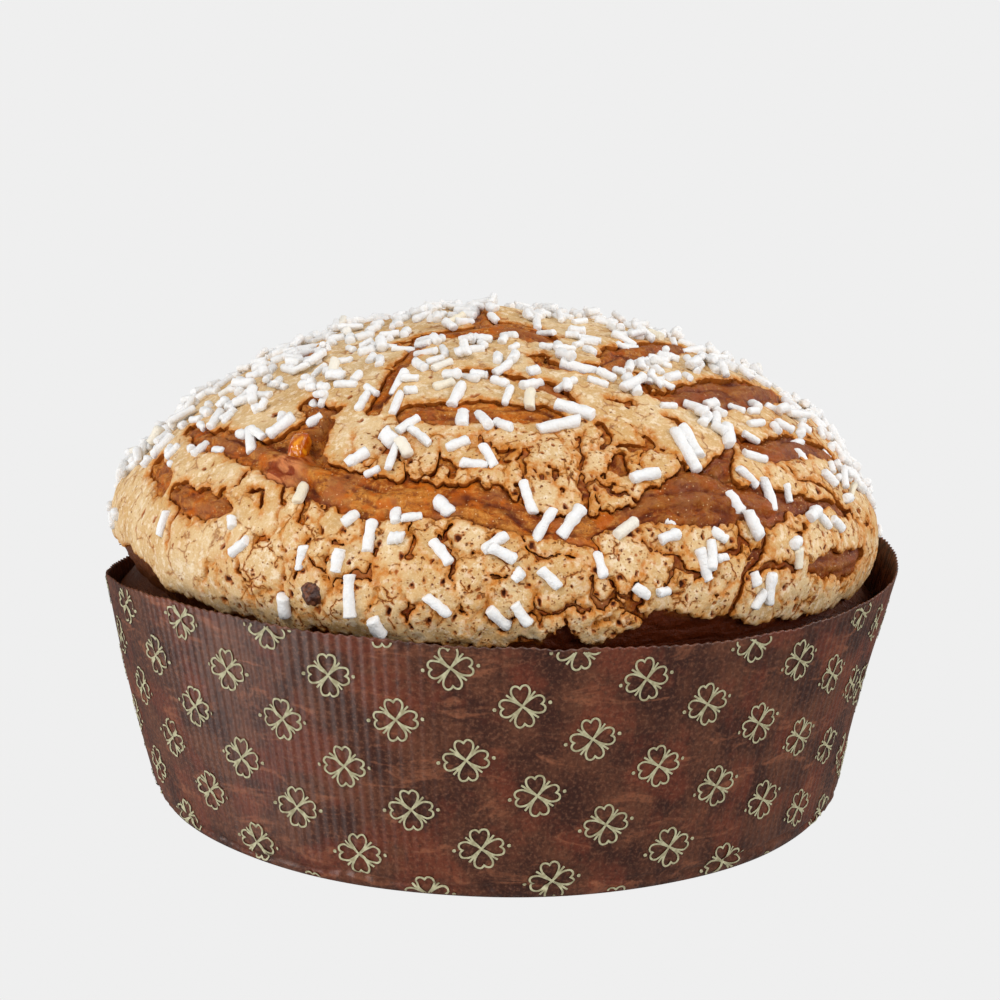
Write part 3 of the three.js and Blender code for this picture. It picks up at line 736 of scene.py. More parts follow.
def sugar_density(a, b):
    """How thickly the sugar lies, from 0 to 1: heavy on top and on the flanks, thin in front."""
    reach = math.hypot(a, b)
    front = max(0, b / max(reach, 1))
    back = max(0, -b / max(reach, 1))
    limit = 118 - 56 * front ** 1.5 - 20 * back
    clumps = 0.6 + 0.4 * math.sin(a / 8 + 2 * math.sin(b / 13)) * math.sin(b / 9 - 1)
    heap = 0.9 * math.exp(-((a + 65) / 20) ** 2 - ((b - 40) / 14) ** 2)
    heavy = (clumps + heap) * (1 - 0.6 * back) * float(smooth(limit + 14, limit - 10, reach))
    return 0.05 + 0.95 * heavy


def scattered_rods():
    rods = []
    for i in range(ROD_TRIALS):
        reach = 134 * math.sqrt(chance(i, 1))
        turn = 2 * math.pi * chance(i, 2)
        a, b = reach * math.sin(turn), reach * math.cos(turn)
        if chance(i, 3) >= sugar_density(a, b):
            continue
        angle = math.pi * chance(i, 4)
        length = 3.2 + 4.6 * chance(i, 5) ** 1.5
        diameter = 1.9 + 1.2 * chance(i, 6)
        da, db = 0.5 * length * math.cos(angle), 0.5 * length * math.sin(angle)
        rods.append([a - da, b - db, a + da, b + db, SCATTERED_WIDTH * diameter])
    rods.sort(key=lambda rod: math.dist(rod[:2], rod[2:4]) * rod[4], reverse=True)
    return rods


class Landscape:
    """Heights over the dome on a square grid of the map, on which the rods are laid in turn."""

    def __init__(self):
        side = np.arange(-GRID_REACH, GRID_REACH + GRID_CELL, GRID_CELL)
        a, b = np.meshgrid(side, side, indexing="ij")
        field = glaze_field(a.ravel(), b.ravel())
        glaze, _ = glaze_rise(a.ravel(), b.ravel(), field)
        dough = unevenness(a, b).ravel() - GLAZE_THICKNESS
        self.field = field.reshape(a.shape)
        self.height = np.where(field > 0, glaze, dough).reshape(a.shape)
        self.ground = self.height.copy()

    def index(self, *place):
        """Row and column of the grid point nearest to a place."""
        steps = [np.round((np.asarray(x) + GRID_REACH) / GRID_CELL).astype(int) for x in place]
        return tuple(np.clip(step, 0, len(self.height) - 1) for step in steps)

    def lay(self, rod):
        """Heights of a rod's ends once it lies on what is there, or None where it can't lie."""
        a0, b0, a1, b1, diameter = rod
        t = np.linspace(0.1, 0.9, 7)
        spots = self.index(a0 + t * (a1 - a0), b0 + t * (b1 - b0))
        heights = self.height[spots]
        piled = float((heights - self.ground[spots]).mean())
        if piled > ROD_PILE_LIMIT * diameter:
            return None
        length = math.hypot(a1 - a0, b1 - b0)
        slope = np.clip((heights[4:].mean() - heights[:3].mean()) / 0.6, -0.3 * length, 0.3 * length)
        middle = heights.mean() + 0.45 * float((heights - heights.mean()).max())
        sunk = ROD_SUNK if piled < 0.1 * diameter else ROD_SUNK_ON_OTHERS
        lift = middle + (0.5 - sunk) * diameter
        ends = lift - 0.5 * slope, lift + 0.5 * slope
        self.raise_under(rod, ends)
        return ends

    def raise_under(self, rod, ends):
        a0, b0, a1, b1, diameter = rod
        radius = diameter / 2
        first = self.index(min(a0, a1) - radius, min(b0, b1) - radius)
        last = self.index(max(a0, a1) + radius, max(b0, b1) + radius)
        rows, columns = [np.arange(low, high + 1) for low, high in zip(first, last)]
        window = np.ix_(rows, columns)
        a = GRID_CELL * rows[:, None] - GRID_REACH
        b = GRID_CELL * columns[None, :] - GRID_REACH
        da, db = a1 - a0, b1 - b0
        t = np.clip(((a - a0) * da + (b - b0) * db) / (da * da + db * db), 0, 1)
        gap = np.hypot(a - a0 - t * da, b - b0 - t * db)
        round_top = np.sqrt(np.clip(radius ** 2 - gap ** 2, 0, None))
        top = np.where(gap < radius, ends[0] + t * (ends[1] - ends[0]) + round_top, -99)
        self.height[window] = np.maximum(self.height[window], top)


def rod_mesh(number, rod, ends):
    """Points, quads and end faces of one rod: slightly bent and knobbly, with broken ends."""
    a0, b0, a1, b1, diameter = rod
    start, end = on_dome(a0, b0, ends[0]), on_dome(a1, b1, ends[1])
    axis = end - start
    length = np.linalg.norm(axis)
    axis = axis / length
    up = on_dome((a0 + a1) / 2, (b0 + b1) / 2, 5.0) - on_dome((a0 + a1) / 2, (b0 + b1) / 2)
    side = np.cross(axis, up)
    side /= np.linalg.norm(side)
    up = np.cross(side, axis)
    soft = 0.17 * diameter / length
    body = np.linspace(1.3 * soft, 1 - 1.3 * soft, 6)
    stations = np.concatenate([[0, 0.4 * soft], body, [1 - 0.4 * soft, 1]])
    widths = np.array([0.66, 0.92, 1, 1, 1, 1, 1, 1, 0.92, 0.66])
    bend = 0.09 * length * (chance(number, 41) - 0.5)
    angle = 2 * math.pi * np.arange(ROD_SIDES) / ROD_SIDES
    points = []
    for k, (t, width) in enumerate(zip(stations, widths)):
        knob = 1 + 0.26 * (chance(number, 50 + k) - 0.5)
        middle = start + axis * length * t + side * bend * (1 - (2 * t - 1) ** 2)
        r = 0.5 * diameter * width * knob
        cut = 0.0
        if k < 2 or k > 7:
            cut = 0.7 * (chance(number, 43 + (k > 4)) - 0.5)
        wave = 1 + 0.05 * np.sin(3 * angle + 6 * chance(number, 60 + k))
        ring = np.outer(np.cos(angle) * r * wave, side) + np.outer(np.sin(angle) * r * wave, up)
        points.append(middle + ring + np.outer(np.cos(angle + 5 * chance(number, 70)) * r * cut, axis))
    points.append([start + axis * 0.02 * diameter])
    points.append([end - axis * 0.02 * diameter])
    points = np.concatenate(points)
    rings = [k * ROD_SIDES + np.arange(ROD_SIDES) for k in range(len(stations))]
    quads = [band(high, low) for low, high in zip(rings[:-1], rings[1:])]
    caps = [fan(rings[0], len(points) - 2)[:, ::-1], fan(rings[-1], len(points) - 1)]
    return points, np.concatenate(quads), np.concatenate(caps)


def make_sugar(material):
    """All rods as one piece. Small ones are left out on bare dough, on the peel and on a high pile."""
    ground = Landscape()
    points, quads, caps, tones = [], [], [], []
    offset = 0
    for number, rod in enumerate(PLACED_RODS + scattered_rods()):
        middle_a, middle_b = 0.5 * (rod[0] + rod[2]), 0.5 * (rod[1] + rod[3])
        bare = ground.field[ground.index(middle_a, middle_b)] < -1.5
        on_peel = math.dist((middle_a, middle_b), PEEL_PLACE) < PEEL_CLEARANCE
        if (bare or on_peel) and number >= len(PLACED_RODS):
            continue
        ends = ground.lay(rod)
        if ends is None:
            if number >= len(PLACED_RODS):
                continue
            ends = [ground.height[ground.index(rod[i], rod[i + 1])] for i in (0, 2)]
        rod_points, rod_quads, rod_caps = rod_mesh(number, rod, ends)
        points.append(rod_points)
        quads.append(rod_quads + offset)
        caps.append(rod_caps + offset)
        tones.append(np.full(len(rod_points), chance(number, 80)))
        offset += len(rod_points)
    piece = build_mesh("sugar_rods", np.concatenate(points), np.concatenate(quads), np.concatenate(caps))
    add_values(piece, tone=np.concatenate(tones))
    finish_piece(piece, material, "crust")


# Candied peel and raisin

def make_lump(name, material, a, b, rise, sizes, turn, wrinkle, corners, salt):
    """A rounded piece that lies in the dough: its half sizes are across, down and out of it."""
    across, down = np.meshgrid(np.linspace(0, 2 * math.pi, 72, False), np.linspace(0, math.pi, 40))
    x, y, z = np.cos(across) * np.sin(down), np.sin(across) * np.sin(down), np.cos(down)
    dents = fractal(x * 3 + z, y * 3 - z, 1.2, salt, 3) + 0.6 * noise(x * 2, y * 2 + z * 2, 0.45, salt + 9)
    swell = 1 + wrinkle * dents
    square = 1 - corners * np.cos(4 * across) * np.sin(down)
    local_x = sizes[0] * x * swell * square
    local_y = sizes[1] * y * swell * square
    place_a = a + local_x * math.cos(turn) - local_y * math.sin(turn)
    place_b = b + local_x * math.sin(turn) + local_y * math.cos(turn)
    points = on_dome(place_a.ravel(), place_b.ravel(), (rise + sizes[2] * z * swell).ravel())
    rings = np.arange(across.size).reshape(across.shape)
    faces = [band(lower, upper) for upper, lower in zip(rings[:-1], rings[1:])]
    finish_piece(build_mesh(name, points, np.concatenate(faces)), material, "crust")


# Paper case

def flute(turn, z):
    """How far the fluted paper stands out of its smooth cone."""
    beside = np.abs(angle_from(FLAT_FLUTES_TURN, turn))
    strength = (0.4 + 0.6 * smooth(0.35, 0.75, beside)) * (1 - 0.5 * smooth(0.8, 1.2, np.abs(turn)))
    fade = smooth(CASE_CREASE_HEIGHT - 1, CASE_CREASE_HEIGHT + 4, z)
    return 0.5 * FLUTE_DEPTH * strength * fade * np.cos(FLUTE_COUNT * turn)


def seam_step(turn):
    """The end of the paper lies over its start, and thins out to the right of the seam."""
    past = angle_from(SEAM_TURN, turn)
    return PAPER * smooth(0, SEAM_GAP, past) * smooth(0.5, 0.3, past)


def paper_point(turn, z, out=0.0):
    """A point of the case's printed face, or off it, with its small dents."""
    dent = 0.2 * np.sin(3 * turn + 0.7) * np.sin(z / 17) + 0.12 * np.sin(11 * turn + z / 9)
    fold_height = CASE_CREASE_HEIGHT + 0.9 * np.sin(7 * turn) * np.sin(4 * turn + 1) + 0.4 * np.sin(31 * turn)
    fold = 0.9 * np.exp(-(((z - fold_height) / 0.7) ** 2))
    crumple = 0.25 * np.sin(90 * turn + 3 * np.sin(17 * turn)) * smooth(5, 2, z) * smooth(0, 1, z)
    radius = case_radius(turn, z) - 0.5 * FLUTE_DEPTH + flute(turn, z) + dent
    radius = radius + seam_step(turn) - PAPER - fold + crumple + out
    return at_turn(turn, radius, z)


def make_case(material):
    """The paper from its foot up to the rim, and a little way down inside."""
    columns = FLUTE_COUNT * FLUTE_STEPS
    turn = 2 * math.pi * np.arange(columns) / columns
    scallop = 0.2 * np.cos(FLUTE_COUNT * turn) + 0.3 * noise(turn * CASE_RIM_RADIUS, turn * 0, 7, 91)
    rim = rim_height(turn) - 0.4 + scallop
    foot_top = CASE_CREASE_HEIGHT + 2
    rows = [paper_point(turn, z + 0 * turn) for z in (0, 1, 2, 2.8, 3.6, foot_top)]
    for t in np.linspace(0, 1, 9)[1:-1]:
        rows.append(paper_point(turn, foot_top + t * (rim - foot_top)))
    rows += [paper_point(turn, rim - drop) for drop in (0.5, 0)]
    inner = [paper_point(turn, rim - drop, -PAPER) for drop in (0, 0.5, 7, 15, 25)]
    points = np.concatenate(rows + inner + [[[0, 0, 0]]])
    rings = np.arange(len(points) - 1).reshape(-1, columns)
    faces = [band(low, high) for low, high in zip(rings[:-1], rings[1:])]
    piece = build_mesh("case", points, np.concatenate(faces), fan(rings[0], len(points) - 1))
    add_values(
        piece,
        inside=np.repeat([0, 1], [len(rows) * columns, len(inner) * columns]),
        around=np.tile(np.where(turn > math.pi, turn - 2 * math.pi, turn), len(rings)),
        up=points[:, 2],
    )
    finish_piece(piece, material, "paper", "paper_case")


def print_place(sheet):
    """Turn and height on the case of places on its unrolled sheet."""
    across, up = sheet[..., 0], sheet[..., 1]
    turn = across / PRINT_RADIUS
    for _ in range(4):
        z = up + PRINT_SAG * (1 - np.cos(turn))
        spread = PRINT_FLARE * (1 - smooth(1.2, 2.6, np.abs(turn)))
        turn = across / (PRINT_RADIUS * (1 + spread * (z - CASE_HEIGHT / 2)))
    return turn, z


def bend_line(corners):
    """A smooth line that starts and ends at the outer ones of four corners."""
    t = np.linspace(0, 1, 12)[:, None]
    weights = (1 - t) ** 3, 3 * t * (1 - t) ** 2, 3 * t ** 2 * (1 - t), t ** 3
    return sum(weight * corner for weight, corner in zip(weights, corners))


def turn_line(line, angle):
    cos, sin = math.cos(angle), math.sin(angle)
    return line @ np.array([[cos, sin], [-sin, cos]])


def clover_lines():
    """The lines of one clover: four hearts, ticks between them, and a dot on either side."""
    size = np.array([LEAF_WIDTH, LEAF_LENGTH])
    side = bend_line(size * [[0, 0], [0.3, 0.3], [0.5, 0.52], [0.5, 0.75]])
    lobe = bend_line(size * [[0.5, 0.75], [0.5, 1.05], [0.1, 1.1], [0, 0.84]])
    half = np.concatenate([side, lobe[1:]])
    heart = np.concatenate([half, half[-2::-1] * [-1, 1]])
    tick = np.stack([np.zeros(6), np.linspace(2.2, 4.7, 6)], 1)
    t = np.linspace(0, 2 * math.pi, 10)
    dot = DOT_RADIUS * np.stack([np.cos(t), np.sin(t)], 1)
    lines = [turn_line(heart, quarter * math.pi / 2) for quarter in range(4)]
    lines += [turn_line(tick, (quarter + 0.5) * math.pi / 2) for quarter in range(4)]
    return lines + [dot - [DOT_REACH, 0], dot + [DOT_REACH, 0]]


def ribbon(line, width):
    """Three rows of points along a line, with faces between them."""
    along = np.gradient(line, axis=0)
    along /= np.maximum(np.linalg.norm(along, axis=1, keepdims=True), 1e-9)
    across = np.stack([-along[:, 1], along[:, 0]], 1) * width / 2
    points = np.concatenate([line - across, line, line + across])
    count = len(line)
    i = np.arange(count - 1)
    faces = [np.stack([k + i, k + i + 1, k + count + i + 1, k + count + i], 1) for k in (0, count)]
    return points, np.concatenate(faces)


def make_print(material):
    """The clovers as flat strips just off the paper, cut off at the rim, the foot and the seam."""
    shapes = [ribbon(line, PRINT_LINE) for line in clover_lines()]
    points, faces = [], []
    offset = 0
    for i in range(-45, 46):
        for j in range(-45, 46):
            centre = PRINT_ORIGIN + i * PRINT_STEPS[0] + j * PRINT_STEPS[1]
            turn, z = print_place(centre)
            if not (SEAM_TURN - 2 * math.pi < turn < SEAM_TURN and -6 < z < CASE_HEIGHT + 9):
                continue
            tilt = PRINT_TURN * smooth(-1, 0, turn)
            for shape, shape_faces in shapes:
                turns, heights = print_place(centre + turn_line(shape, tilt))
                top = rim_height(turns) - 0.9
                inside = (heights > 0.3) & (heights < top) & (turns < SEAM_TURN - SEAM_GAP)
                kept = shape_faces[inside[shape_faces].all(1)]
                if not len(kept):
                    continue
                points.append(paper_point(turns, np.clip(heights, 0, None), PRINT_LIFT))
                faces.append(kept + offset)
                offset += len(shape)
    faces, _, points = compact(np.concatenate(faces), np.concatenate(points))
    finish_piece(build_mesh("clover_print", points, faces[:, ::-1]), material, "paper")


# Materials

class Shader:
    """A small helper that adds nodes to one material and links them."""

    def __init__(self, name, **settings):
        self.material = bpy.data.materials.new(name)
        self.material.use_nodes = True
        self.tree = self.material.node_tree
        self.surface = self.tree.nodes["Principled BSDF"]
        self.colour = None
        for socket, value in settings.items():
            self.surface.inputs[socket.replace("_", " ")].default_value = value

    def link(self, source, target):
        self.tree.links.new(source, target)

    def add(self, kind, sockets=(), **settings):
        """A new node, with some of its input sockets linked or set."""
        node = self.tree.nodes.new(kind)
        for name, value in settings.items():
            setattr(node, name, value)
        for socket, value in dict(sockets).items():
            if isinstance(value, bpy.types.NodeSocket):
                self.link(value, node.inputs[socket])
            else:
                node.inputs[socket].default_value = value
        return node

    def value(self, name):
        return self.add("ShaderNodeAttribute", attribute_name=name).outputs["Fac"]

    def place(self):
        """Object coordinates in millimetres."""
        coordinates = self.add("ShaderNodeTexCoord").outputs["Object"]
        return self.add("ShaderNodeMapping", {"Vector": coordinates, "Scale": [1 / MM] * 3}).outputs[0]

    def vector(self, x, y, z=0.0):
        return self.add("ShaderNodeCombineXYZ", {0: x, 1: y, 2: z}).outputs[0]

    def noise(self, vector, size, detail=3.0, roughness=0.55, distortion=0.0, output="Fac"):
        sockets = {"Vector": vector, "Scale": 1 / size, "Detail": detail}
        sockets.update({"Roughness": roughness, "Distortion": distortion})
        return self.add("ShaderNodeTexNoise", sockets).outputs[output]

    def warp(self, vector, size, amount):
        """The vector shaken by smooth noise, by up to about the amount in millimetres."""
        shake = self.noise(vector, size, 2, 0.5, output="Color")
        steps = (("SUBTRACT", {1: [0.5] * 3}), ("SCALE", {"Scale": 2 * amount}), ("ADD", {1: vector}))
        for operation, sockets in steps:
            shake = self.add("ShaderNodeVectorMath", {0: shake, **sockets}, operation=operation).outputs[0]
        return shake

    def voronoi(self, vector, size, output="Distance", feature="F1"):
        sockets = {"Vector": vector, "Scale": 1 / size}
        return self.add("ShaderNodeTexVoronoi", sockets, feature=feature).outputs[output]

    def math(self, operation, first, second):
        return self.add("ShaderNodeMath", {0: first, 1: second}, operation=operation).outputs[0]

    def plus(self, first, second):
        return self.math("ADD", first, second)

    def minus(self, first, second):
        return self.math("SUBTRACT", first, second)

    def times(self, first, second):
        return self.math("MULTIPLY", first, second)

    def step(self, value, start, stop, low=0.0, high=1.0):
        """A smooth change from low to high while the value goes from start to stop."""
        sockets = {"Value": value, "From Min": start, "From Max": stop, "To Min": low, "To Max": high}
        return self.add("ShaderNodeMapRange", sockets, interpolation_type="SMOOTHSTEP").outputs[0]

    def mix(self, share, first, second):
        return self.add("ShaderNodeMix", {0: share, 6: first, 7: second}, data_type="RGBA").outputs[2]

    def paint(self, share, red, green, blue):
        """Lays a screen colour over the colour so far, as thickly as the share says."""
        self.colour = self.mix(share, self.colour, srgb(red, green, blue))

    def finish(self, relief=None, depth=0.0):
        """Puts the colour, and a relief of a depth in millimetres, on the surface."""
        self.link(self.colour, self.surface.inputs["Base Color"])
        if relief is not None:
            bump = self.add("ShaderNodeBump", {"Distance": depth * MM, "Height": relief})
            self.link(bump.outputs[0], self.surface.inputs["Normal"])
        return self.material


def srgb(red, green, blue):
    """A colour as read off a screen, from 0 to 255, in the linear values that nodes use."""

    def linear(c):
        c /= 255
        return c / 12.92 if c <= 0.04045 else ((c + 0.055) / 1.055) ** 2.4

    return linear(red), linear(green), linear(blue), 1


def add_pits(s, at, craze, size, share, radius, shake):
    """Round pits of one size, each with a toasted ring: how deep, and how near."""
    shaken = s.warp(at, size * 0.5, shake)
    apart = s.voronoi(shaken, size)
    wanted = s.times(s.plus(s.times(craze, 0.75), 0.25), share)
    chosen = s.math("LESS_THAN", s.voronoi(shaken, size, "Color"), wanted)
    pit = s.times(s.step(apart, radius, 0.45 * radius), chosen)
    ring = s.times(s.step(apart, 1.9 * radius, 0.8 * radius), chosen)
    return pit, ring


def glaze_material():
    s = Shader("glaze", Roughness=0.72, Specular_IOR_Level=0.22)
    at = s.place()
    edge, pit, craze = s.value("edge"), s.value("pit"), s.value("craze")
    grain = s.noise(at, 0.6, 4, 0.7)
    # Cream with pale crystals and toasted patches
    s.colour = s.mix(s.step(s.noise(at, 11, 4), 0.36, 0.64), srgb(208, 166, 108), srgb(222, 190, 142))
    s.paint(s.step(grain, 0.5, 0.7, 0, 0.55), 242, 220, 184)
    s.paint(s.step(grain, 0.48, 0.3, 0, 0.45), 192, 136, 70)
    s.paint(s.step(s.noise(at, 2, 4, 0.65), 0.5, 0.64, 0, 0.7), 246, 229, 200)
    toast = s.step(s.noise(at, 4, 5, 0.7), 0.53, 0.68)
    s.paint(s.times(toast, s.plus(s.times(craze, 0.2), 0.2)), 204, 130, 42)
    # Pores
    pores = s.plus(s.noise(s.warp(at, 1.2, 0.5), 1.1, 2, 0.5), s.times(craze, 0.05))
    pores = s.plus(pores, s.times(s.minus(s.noise(at, 5, 3), 0.5), 0.4))
    s.paint(s.step(pores, 0.68, 0.76, 0, 0.7), 200, 122, 34)
    s.paint(s.step(pores, 0.77, 0.8, 0, 0.9), 120, 52, 6)
    # Veins
    split = s.voronoi(s.warp(s.warp(at, 3, 1.2), 0.9, 0.4), 6, "Distance", "DISTANCE_TO_EDGE")
    veined = s.times(s.step(s.noise(at, 5, 4), 0.48, 0.58), s.step(craze, -0.5, 0.5))
    ragged = s.minus(split, s.times(s.minus(grain, 0.5), 0.12))
    vein = s.times(s.step(ragged, 0.03, 0.01), veined)
    s.paint(s.times(s.step(ragged, 0.11, 0.02, 0, 0.7), veined), 204, 126, 38)
    s.paint(vein, 140, 66, 8)
    # Round pits of three sizes, their holes dark with painted shade over the brown of the dough
    fine_pit, _ = add_pits(s, at, craze, 1, 0.5, 0.28, 0.3)
    small_pit, small_ring = add_pits(s, at, craze, 1.5, 0.5, 0.24, 0.6)
    wide_pit, wide_ring = add_pits(s, at, craze, 2.6, 0.45, 0.2, 1.1)
    s.paint(s.math("MAXIMUM", s.times(small_ring, 0.5), s.times(wide_ring, 0.8)), 192, 108, 24)
    s.paint(s.times(fine_pit, 0.9), 140, 70, 12)
    hole = s.math("MAXIMUM", s.times(small_pit, 0.85), wide_pit)
    # Painted shade: the centres of the holes are dark, partly the dough's brown and partly shade
    s.paint(hole, 98, 38, 4)
    # The toasted margin, the side below the lip darkened to its foot as painted shade, and the pits of the
    # mesh with painted shade at their bottoms
    rim = s.plus(edge, s.times(s.minus(s.noise(at, 1.7, 4, 0.7), 0.52), 5))
    s.paint(s.step(rim, 2.6, 0.4, 0, 0.4), 212, 148, 72)
    s.paint(s.step(rim, 1.2, -0.3, 0, 0.85), 198, 116, 26)
    s.paint(s.step(rim, -0.2, -1.1), 148, 70, 6)
    s.paint(s.step(edge, 0.05, -0.25), 176, 98, 24)
    # Painted shade: the toasted side goes darker towards its foot, under the lip
    s.paint(s.step(edge, -0.35, -0.95), 136, 62, 6)
    s.paint(s.step(pit, 0.02, 0.3, 0, 0.85), 170, 84, 12)
    # Painted shade: the bottoms of the mesh pits are near black, deeper than the brown of the dough below
    s.paint(s.step(pit, 0.3, 0.8), 76, 26, 0)
    relief = s.plus(s.times(grain, 0.4), s.times(s.noise(at, 1.9, 4, 0.6), 0.9))
    relief = s.minus(relief, s.times(hole, 0.9))
    relief = s.minus(relief, s.step(pores, 0.72, 0.8, 0, 0.8))
    relief = s.minus(relief, s.times(vein, 0.6))
    return s.finish(relief, 0.6)


def dough_material():
    s = Shader("dough", Roughness=0.4, Specular_IOR_Level=0.22)
    at = s.place()
    edge, hem, roll, film = s.value("edge"), s.value("hem"), s.value("roll"), s.value("film")
    right, _, height = s.add("ShaderNodeSeparateXYZ", {0: at}).outputs
    along = s.vector(s.times(s.value("flow_u"), 0.3), s.value("flow_v"))
    streaks = s.noise(along, 2.2, 5, 0.6, 0.9)
    skin = s.noise(s.warp(at, 2, 0.8), 1.1, 5, 0.7)
    broad = s.noise(at, 8, 3)
    # Torn dough: rolls with painted highlight and shade, streaks along the crack, skin, orange and dull
    # patches, darker at the right
    s.colour = s.mix(s.step(broad, 0.4, 0.6), srgb(140, 60, 2), srgb(186, 100, 14))
    # Painted highlight: the tops of the rolls are paler, where they would catch the light
    s.paint(s.step(roll, 0.25, 0.7, 0, 0.8), 200, 126, 44)
    s.paint(s.step(streaks, 0.52, 0.66, 0, 0.6), 216, 146, 66)
    s.paint(s.step(streaks, 0.48, 0.36, 0, 0.75), 108, 36, 0)
    s.paint(s.step(skin, 0.52, 0.66, 0, 0.65), 222, 158, 80)
    s.paint(s.step(skin, 0.48, 0.34, 0, 0.7), 118, 46, 0)
    s.paint(s.step(s.noise(at, 5, 3, 0.6), 0.5, 0.63, 0, 0.7), 200, 96, 0)
    s.paint(s.step(s.noise(s.warp(at, 4, 2), 9, 3), 0.5, 0.62, 0, 0.5), 146, 88, 54)
    # Painted shade: dark in the creases between the rolls
    s.paint(s.step(roll, 0.28, 0.07, 0, 0.9), 82, 22, 0)
    s.paint(s.step(right, 15, 50, 0, 0.55), 104, 38, 0)
    s.paint(s.step(s.voronoi(at, 1.3), 0.17, 0.08, 0, 0.6), 240, 204, 150)
    # Crust below the glaze: dull at the left, glossy at the right, darker towards the paper as painted shade
    # under the belly
    crust = s.mix(s.step(skin, 0.4, 0.62), srgb(116, 54, 8), srgb(184, 116, 50))
    glossy = s.mix(s.step(skin, 0.36, 0.66), srgb(70, 16, 0), srgb(122, 46, 2))
    crust = s.mix(s.step(right, -30, 10), crust, glossy)
    # Painted shade: the crust under the belly, by the paper, is darkened
    crust = s.mix(s.step(height, 80, 64, 0, 0.8), crust, srgb(80, 28, 2))
    s.colour = s.mix(hem, s.colour, crust)
    # The wet film by the peel, and the shade beside the glaze
    wet = s.mix(s.step(streaks, 0.42, 0.6), srgb(134, 44, 4), srgb(222, 138, 84))
    shaken = s.plus(film, s.times(s.minus(broad, 0.5), 0.9))
    s.colour = s.mix(s.step(shaken, 0.3, 0.8, 0, 0.8), s.colour, wet)
    shade = s.times(s.step(edge, -0.9, -0.1, 0, 0.8), s.step(s.noise(at, 4, 3), 0.42, 0.6))
    s.paint(shade, 112, 40, 0)
    return s.finish(s.plus(s.times(streaks, 0.8), skin), 0.6)


def sugar_material():
    s = Shader("sugar", Roughness=0.6, Specular_IOR_Level=0.3, Subsurface_Weight=0.2,
               Subsurface_Radius=(1.0, 0.92, 0.84), Subsurface_Scale=0.8 * MM)
    at = s.place()
    s.colour = s.mix(s.step(s.value("tone"), 0.94, 1), srgb(238, 237, 236), srgb(236, 224, 198))
    s.paint(s.step(s.noise(at, 1.5, 2), 0.45, 0.7, 0, 0.35), 222, 217, 208)
    return s.finish(s.noise(at, 0.6, 3), 0.35)


def peel_material():
    s = Shader("candied_peel", Roughness=0.2, Specular_IOR_Level=0.6, Coat_Weight=0.6, Coat_Roughness=0.12)
    at = s.place()
    s.colour = s.mix(s.step(s.noise(at, 2.4, 3), 0.38, 0.66), srgb(176, 72, 0), srgb(232, 146, 24))
    return s.finish(s.noise(at, 1.5, 2), 0.2)


def raisin_material():
    s = Shader("raisin", Roughness=0.45, Specular_IOR_Level=0.5)
    at = s.place()
    s.colour = s.mix(s.step(s.noise(at, 1.6, 3), 0.4, 0.62), srgb(58, 26, 14), srgb(120, 70, 44))
    return s.finish(s.noise(at, 0.9, 3), 0.3)


def paper_material():
    s = Shader("printed_paper", Roughness=0.4, Specular_IOR_Level=0.5)
    around, up = s.value("around"), s.value("up")
    flat = s.vector(s.times(around, CASE_RIM_RADIUS), up)
    stretched = s.vector(s.times(around, CASE_RIM_RADIUS * 0.3), up, 3)
    s.colour = s.mix(s.step(s.noise(flat, 16, 5, 0.62), 0.38, 0.62), srgb(60, 26, 14), srgb(98, 54, 33))
    s.paint(s.step(s.noise(flat, 20, 5), 0.48, 0.6, 0, 0.6), 114, 48, 26)
    s.paint(s.step(s.noise(stretched, 5, 5, 0.65, 0.8), 0.55, 0.68, 0, 0.5), 158, 94, 62)
    s.paint(s.step(s.noise(flat, 1, 4, 0.7), 0.48, 0.66, 0, 0.35), 146, 98, 72)
    s.paint(s.step(s.noise(flat, 1.3, 4, 0.7), 0.48, 0.66, 0, 0.5), 42, 20, 12)
    # Inside of the case: kraft paper, darkened all over as painted shade where it faces the dough
    kraft_with_painted_shade = s.mix(s.step(s.noise(flat, 3, 3), 0.35, 0.65), srgb(56, 22, 10), srgb(104, 56, 30))
    s.colour = s.mix(s.value("inside"), s.colour, kraft_with_painted_shade)
    return s.finish(s.noise(flat, 0.6, 3), 0.06)


def print_material():
    s = Shader("print", Roughness=0.5, Specular_IOR_Level=0.4)
    grain = s.noise(s.place(), 1.2, 3)
    s.colour = s.mix(s.step(grain, 0.35, 0.65), srgb(160, 152, 118), srgb(190, 186, 150))
    return s.finish()


# Stage, light and camera

def add_light(name, place, size, power):
    light = bpy.data.lights.new(name, "AREA")
    light.shape = "DISK"
    light.size = size
    light.energy = power
    lamp = bpy.data.objects.new(name, light)
    lamp.location = place
    aim = Vector((0, 0, LIGHTS_AIM * MM)) - Vector(place)
    lamp.rotation_euler = aim.to_track_quat("-Z", "Y").to_euler()
    bpy.context.scene.collection.objects.link(lamp)


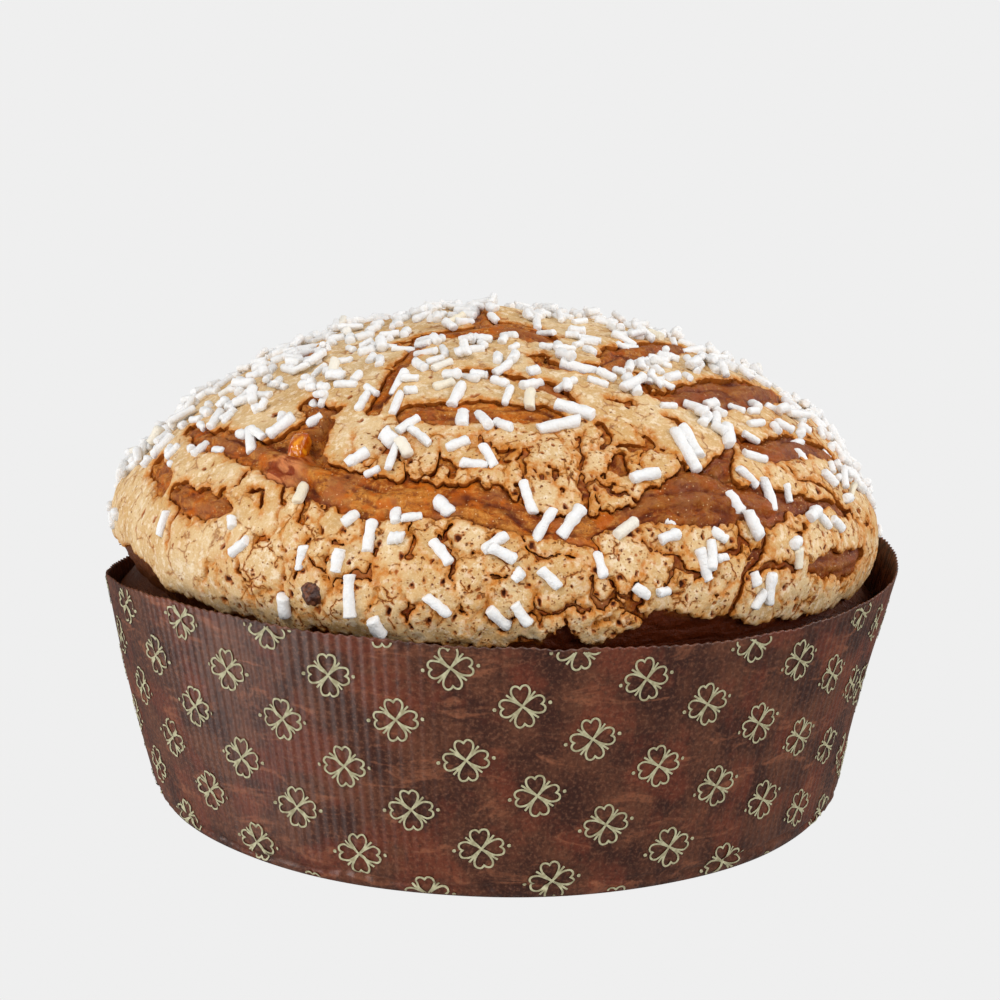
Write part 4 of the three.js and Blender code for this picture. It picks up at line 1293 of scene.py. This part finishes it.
def make_world():
    """A plain bright backdrop, and softer light from all round. Reflections see a darker room,
    so that the dough and the paper keep their colour.
    """
    world = bpy.data.worlds.new("studio")
    world.use_nodes = True
    nodes, links = world.node_tree.nodes, world.node_tree.links
    backdrop, around = nodes["Background"], nodes.new("ShaderNodeBackground")
    for background in (backdrop, around):
        background.inputs["Color"].default_value = (1, 1, 1, 1)
    backdrop.inputs["Strength"].default_value = BACKDROP
    seen = nodes.new("ShaderNodeLightPath")
    strength = nodes.new("ShaderNodeMapRange")
    strength.inputs["To Min"].default_value = AMBIENT
    strength.inputs["To Max"].default_value = REFLECTED
    choice = nodes.new("ShaderNodeMixShader")
    links.new(seen.outputs["Is Glossy Ray"], strength.inputs["Value"])
    links.new(strength.outputs[0], around.inputs["Strength"])
    links.new(seen.outputs["Is Camera Ray"], choice.inputs[0])
    links.new(around.outputs[0], choice.inputs[1])
    links.new(backdrop.outputs[0], choice.inputs[2])
    links.new(choice.outputs[0], nodes["World Output"].inputs["Surface"])
    bpy.context.scene.world = world


def make_camera():
    lens = bpy.data.cameras.new("camera")
    lens.sensor_width = SENSOR
    lens.lens = LENS
    camera = bpy.data.objects.new("camera", lens)
    back = CAMERA_DISTANCE * math.cos(CAMERA_RISE)
    height = CAMERA_AIM + CAMERA_DISTANCE * math.sin(CAMERA_RISE)
    turn = Matrix.Rotation(math.pi / 2 - CAMERA_RISE, 4, "X") @ Matrix.Rotation(CAMERA_ROLL, 4, "Z")
    camera.matrix_world = Matrix.Translation((0, -back * MM, height * MM)) @ turn
    bpy.context.scene.collection.objects.link(camera)
    bpy.context.scene.camera = camera
    view = bpy.context.scene.view_settings
    view.view_transform = "Standard"
    view.look = "None"


make_camera()
make_dough(dough_material())
make_glaze(glaze_material())
make_sugar(sugar_material())
make_lump("candied_peel", peel_material(), *PEEL_PLACE, -0.9, (2.6, 4.4, 3), 0.25, 0.06, 0.12, 71)
make_lump("raisin", raisin_material(), *RAISIN_PLACE, -1.1, (3.4, 3, 2.6), 0.4, 0.16, 0, 75)
make_case(paper_material())
make_print(print_material())
make_world()
for light in LIGHTS:
    add_light(*light)
